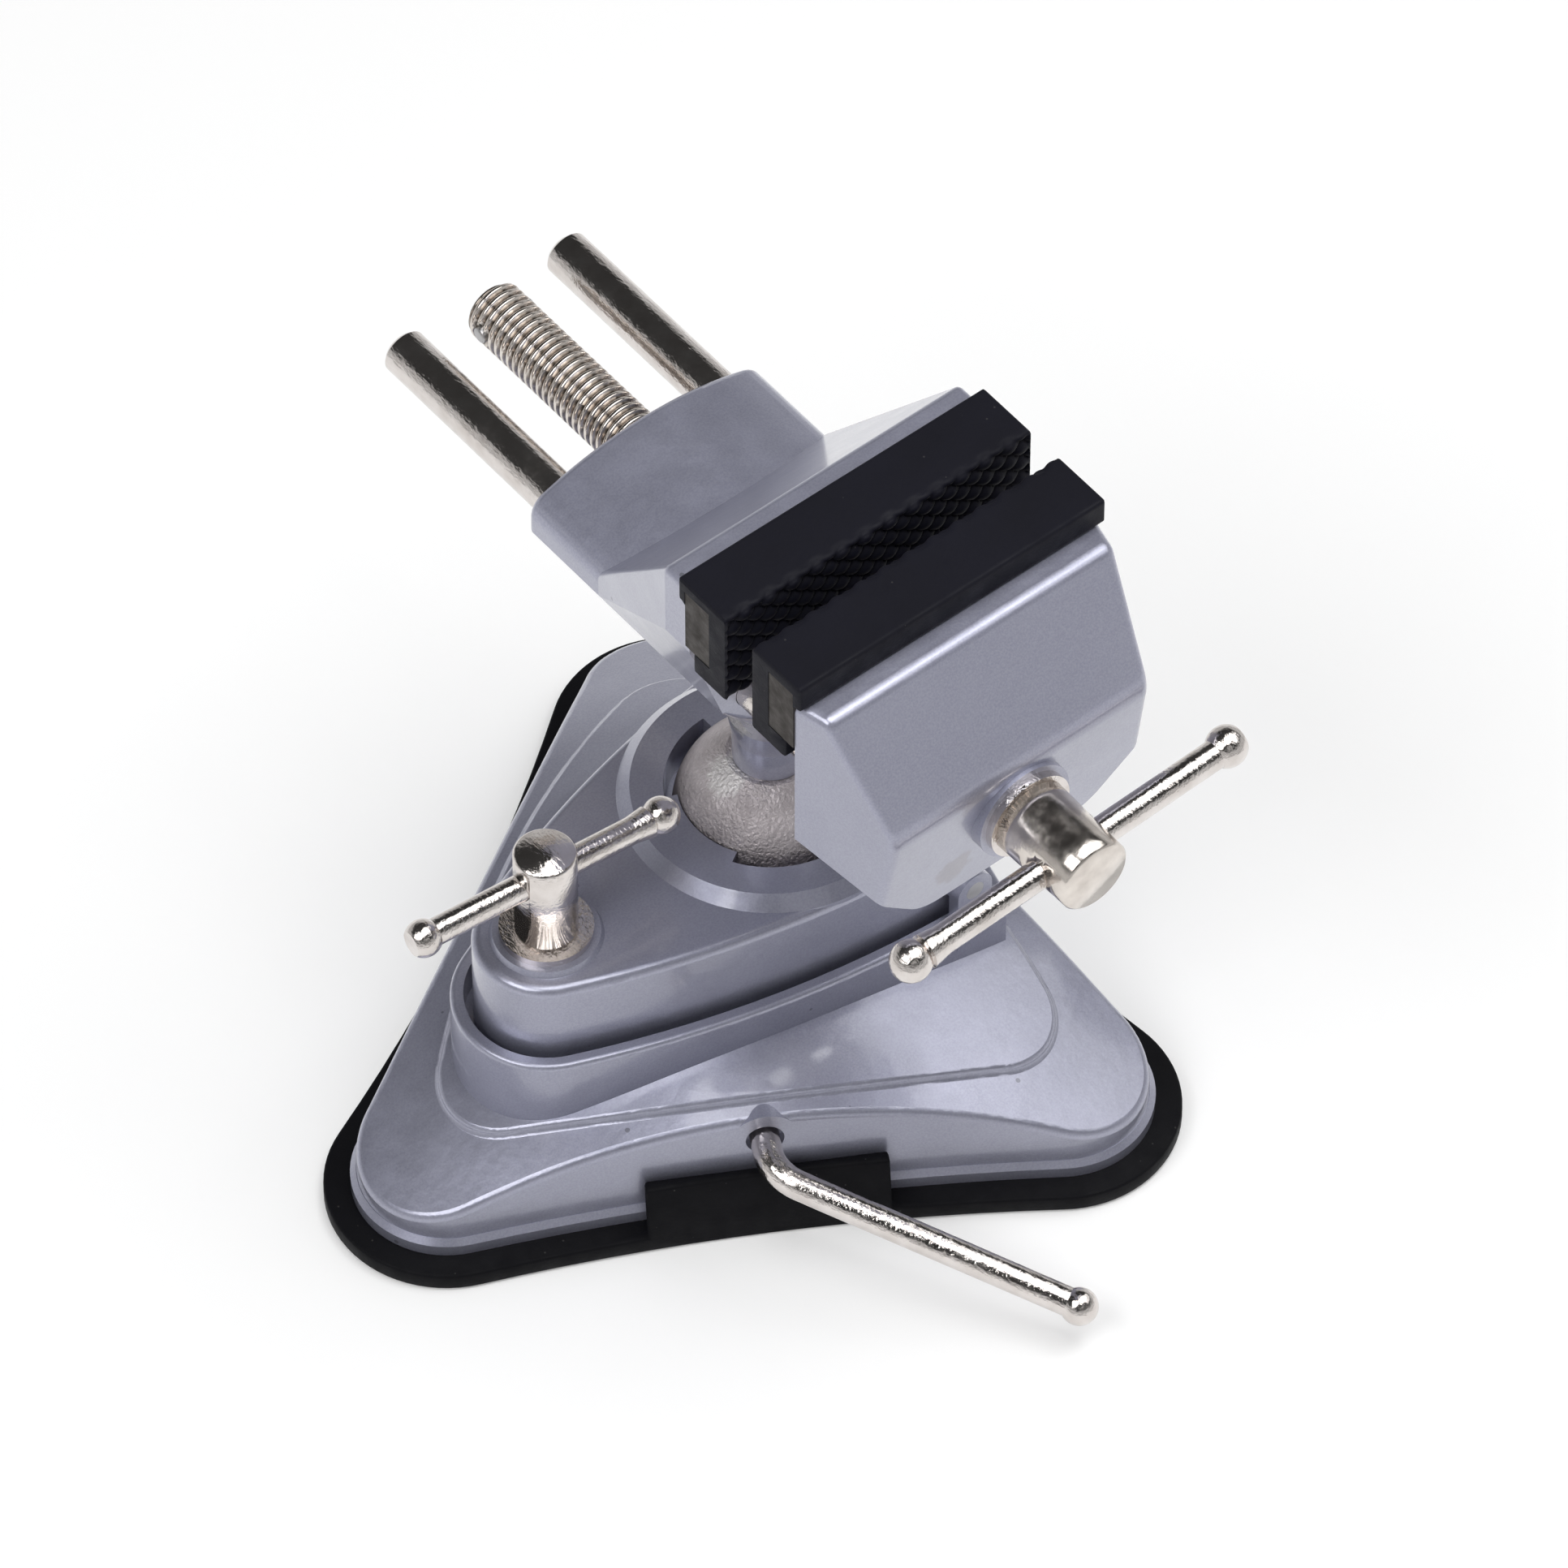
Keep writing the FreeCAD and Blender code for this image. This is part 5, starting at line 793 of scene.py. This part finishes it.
def build_stop_pin():
    shape = bmesh.new()
    radius = (pin_high.z - pin_low.z) / 2
    right = [(PIN_HALF * along, radius * reach) for along, reach in PIN_END_SHARES]
    left = [(-along, reach) for along, reach in reversed(right)]
    rings = []
    for along, reach in left + right:
        angles = [math.tau * side / PIN_SIDES for side in range(PIN_SIDES)]
        rings.append([shape.verts.new((screw_x + along, pin_y + reach * math.cos(angle),
                                       screw_z + reach * math.sin(angle))) for angle in angles])
    for one, two in zip(rings, rings[1:]):
        for side in range(PIN_SIDES):
            shape.faces.new((one[side], one[side - 1], two[side - 1], two[side]))
    bmesh.ops.remove_doubles(shape, verts=shape.verts, dist=WELD)
    return shape


make_piece("stop_pin_rounded", build_stop_pin(), "main_screw_body", "plain_steel", "stop_pin")

# %% [markdown]
# ### Jaw covers
# Each cover is a moulded rubber channel that clips over its steel plate. Its grip is a field of
# small raised diamonds, cut by two sets of slanting grooves. A picture of diamonds would look flat
# from the side and its edge would stay straight, so the grip is real relief: a fine grid whose
# points sink into the grooves, also where they run out over the top edge and make it scalloped.
# The section is drawn once with rounded corners and repeated along the cover, and it shrinks at
# both ends, which rounds the end corners.

# %% Rounded section
ARC_STEP = 0.28 * MM


def rounded_outline(corners, step):
    """Points round a polygon of (y, z, radius) corners, each with its outward normal.

    The polygon runs clockwise as seen from +X. Straight runs are split into steps.
    """
    points = []
    count = len(corners)
    for index in range(count):
        before, here, after = (Vector(corners[(index + k) % count][:2]) for k in (-1, 0, 1))
        radius = corners[index][2]
        come, go = (here - before).normalized(), (after - here).normalized()
        turn = come.angle_signed(go)
        reach = radius * math.tan(abs(turn) / 2)
        first = here - come * reach
        side = 1 if turn > 0 else -1
        centre = first + Vector((come.y, -come.x)) * radius * side
        parts = max(2, round(radius * abs(turn) / ARC_STEP)) if radius else 0
        for k in range(parts + 1):
            angle = -turn * k / parts if parts else 0
            arm = first - centre
            turned = Vector((arm.x * math.cos(angle) - arm.y * math.sin(angle),
                             arm.x * math.sin(angle) + arm.y * math.cos(angle)))
            if radius:
                points.append((centre + turned, turned.normalized() * side))
            else:
                out = Vector((-come.y, come.x)) + Vector((-go.y, go.x))
                points.append((here, out.normalized()))
    dense = []
    for (one, out_one), (two, out_two) in zip(points, points[1:] + points[:1]):
        run = (two - one).length
        parts = max(1, round(run / step))
        for k in range(parts):
            share = k / parts
            dense.append((one.lerp(two, share), out_one.lerp(out_two, share).normalized()))
    return dense


# %% Studs of the grip
DIAMOND_X = 5.5 * MM
DIAMOND_Z = 4.1 * MM
DIAMOND_DEPTH = 1.3 * MM
CREST_FLATNESS = 0.45


def diamond(x, z):
    """Height of the studs, from 0 in a groove to 1 on a crest."""
    one = abs(math.sin(math.pi * (x / DIAMOND_X + z / DIAMOND_Z)))
    two = abs(math.sin(math.pi * (x / DIAMOND_X - z / DIAMOND_Z)))
    return (one * two) ** CREST_FLATNESS


print("stud heights along a row:", [round(diamond(k * DIAMOND_X / 8, 0), 2) for k in range(9)])

# %% Section of a cover
GRIP_STEP = 0.34 * MM
GRIP_ROUND = 1.1 * MM
BACK_ROUND = 0.7 * MM
BACK_FOOT_ROUND = 0.6 * MM
BACK_FOOT = 155 * MM
LIP_DEPTH = 9.6 * MM
LIP_ROUND = 0.8 * MM


def cover_section(jaw):
    """Outline of a cover as (y, z) from the grip plane into the jaw, and which points face the plate."""
    pad_low, pad_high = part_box(f"{jaw}_jaw_pad")
    plate_low, plate_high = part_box(f"{jaw}_jaw_plate")
    grip = pad_low.y if jaw == "rear" else pad_high.y
    near, far = sorted(abs(y - grip) for y in (plate_low.y, plate_high.y))
    deep = pad_high.y - pad_low.y
    corners = [
        (0, pad_low.z, GRIP_ROUND), (0, pad_high.z, GRIP_ROUND), (deep, pad_high.z, BACK_ROUND),
        (deep, BACK_FOOT, BACK_FOOT_ROUND), (far, BACK_FOOT, 0), (far, plate_high.z, 0),
        (near, plate_high.z, 0), (near, plate_low.z, 0), (LIP_DEPTH, plate_low.z, LIP_ROUND),
        (LIP_DEPTH, pad_low.z, LIP_ROUND),
    ]
    outline = rounded_outline(corners, GRIP_STEP)
    inner = {k for k, (point, out) in enumerate(outline)
             if near - WELD < point.x < far + WELD
             and plate_low.z - WELD < point.y < plate_high.z + WELD}
    return outline, inner


print("points of the section:", len(cover_section("rear")[0]))

# %% Jaw cover
EDGE_GROOVE = 0.5 * MM
END_ROUND = 0.55 * MM
FADE_START = 0.2 * MM
FADE_RUN = 1.7 * MM
CALM_END = 0.8 * MM
GRIP_NORMAL_Y = -0.99            # a normal beyond this belongs to the flat grip


def end_shrink(from_end):
    """How far the section has shrunk at a distance from the cover's end."""
    if from_end >= END_ROUND:
        return 0.0
    return END_ROUND - math.sqrt(max(END_ROUND ** 2 - (END_ROUND - from_end) ** 2, 0))


def groove_sink(x, point, out, from_end, foot):
    """Depth of the relief. It is full on the grip and fades out over the rounded edges."""
    fade = min(max(1 - (point.x - FADE_START) / FADE_RUN, 0), 1)
    calm = min(from_end / CALM_END, 1)
    groove = fade * calm * DIAMOND_DEPTH * (1 - diamond(x - screw_x, point.y - foot))
    return groove if out.x < GRIP_NORMAL_Y else min(groove, EDGE_GROOVE)


def build_cover(jaw):
    """Cover of the rear or front jaw, from its section repeated along x."""
    pad_low, pad_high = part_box(f"{jaw}_jaw_pad")
    outline, inner = cover_section(jaw)
    into = 1 if jaw == "rear" else -1
    grip = pad_low.y if jaw == "rear" else pad_high.y
    length = pad_high.x - pad_low.x
    count = round(length / GRIP_STEP)
    shape = bmesh.new()
    columns = []
    for step in range(count + 1):
        x = pad_low.x + length * step / count
        from_end = min(x - pad_low.x, pad_high.x - x)
        ring = []
        for k, (point, out) in enumerate(outline):
            sink = 0
            if k not in inner:
                sink = end_shrink(from_end) + groove_sink(x, point, out, from_end, pad_low.z)
            place = point - out * sink
            ring.append(shape.verts.new((x, grip + into * place.x, place.y)))
        columns.append(ring)
    total = len(outline)
    for one, two in zip(columns, columns[1:]):
        for k in range(total):
            shape.faces.new((one[k], one[(k + 1) % total], two[(k + 1) % total], two[k]))
    shape.faces.new(columns[0])
    shape.faces.new(columns[-1])
    return shape


for jaw, body in (("rear", "head"), ("front", "sliding_jaw")):
    make_piece(f"{jaw}_jaw_cover", build_cover(jaw), body, "cover_rubber", f"{jaw}_jaw_pad", crease=40)

# %% [markdown]
# ### Sole
# The sole is moulded in one piece with its release tab. A mould can't make a knife edge, so every
# outer edge of the rubber is a little round, and that edge catches a thin light all round the base.
# The solid already has the right outline. Its flat triangles are joined first, because a bevel
# works cleanly only along edges that are real ones. The tab is soft and leans against the
# casting's wall, so its top is moved in until it nearly touches, by the room that a ray measures.

# %% Release tab, laid against the wall
TAB_GAP = 0.4 * MM
TAB_SQUAT = 0.78
FLANGE_TOP = 3.75 * MM
LEVER_SIDE = math.radians(60)
INWARD = Vector((math.cos(LEVER_SIDE), math.sin(LEVER_SIDE), 0))
sole = start_from("suction_pad")
tab = [vert for vert in sole.verts if vert.co.z > FLANGE_TOP + TAB_GAP]
tab_top = max(vert.co.z for vert in tab)


def room_before_wall(point):
    """Distance from a point to the casting's wall."""
    hit, place = nodes["base_casting"].ray_cast(point, INWARD)[:2]
    return (place - point).length if hit else TAB_GAP


lean = min(room_before_wall(vert.co) for vert in tab) - TAB_GAP
for vert in tab:
    rise = vert.co.z - FLANGE_TOP
    vert.co += INWARD * lean * rise / (tab_top - FLANGE_TOP)
    vert.co.z = FLANGE_TOP + rise * TAB_SQUAT
print("tab leans in by", round(lean / MM, 2), "mm")

# %% Soft-edged sole
SOLE_ROUND = 0.55 * MM
FLAT_WITHIN = math.radians(0.5)
SHARP_OVER = math.radians(50)
bmesh.ops.dissolve_limit(sole, angle_limit=FLAT_WITHIN, verts=sole.verts, edges=sole.edges)
sharp = [edge for edge in sole.edges
         if len(edge.link_faces) == 2 and edge.calc_face_angle_signed(0) > SHARP_OVER]
bmesh.ops.bevel(sole, geom=sharp, offset=SOLE_ROUND, segments=2, profile=0.5, affect="EDGES",
                clamp_overlap=True)
bmesh.ops.triangulate(sole, faces=[face for face in sole.faces if len(face.verts) > 4])
print("sole edges rounded:", len(sharp))
make_piece("sole_soft_edged", sole, "base", "sole_rubber", "suction_pad", crease=35)
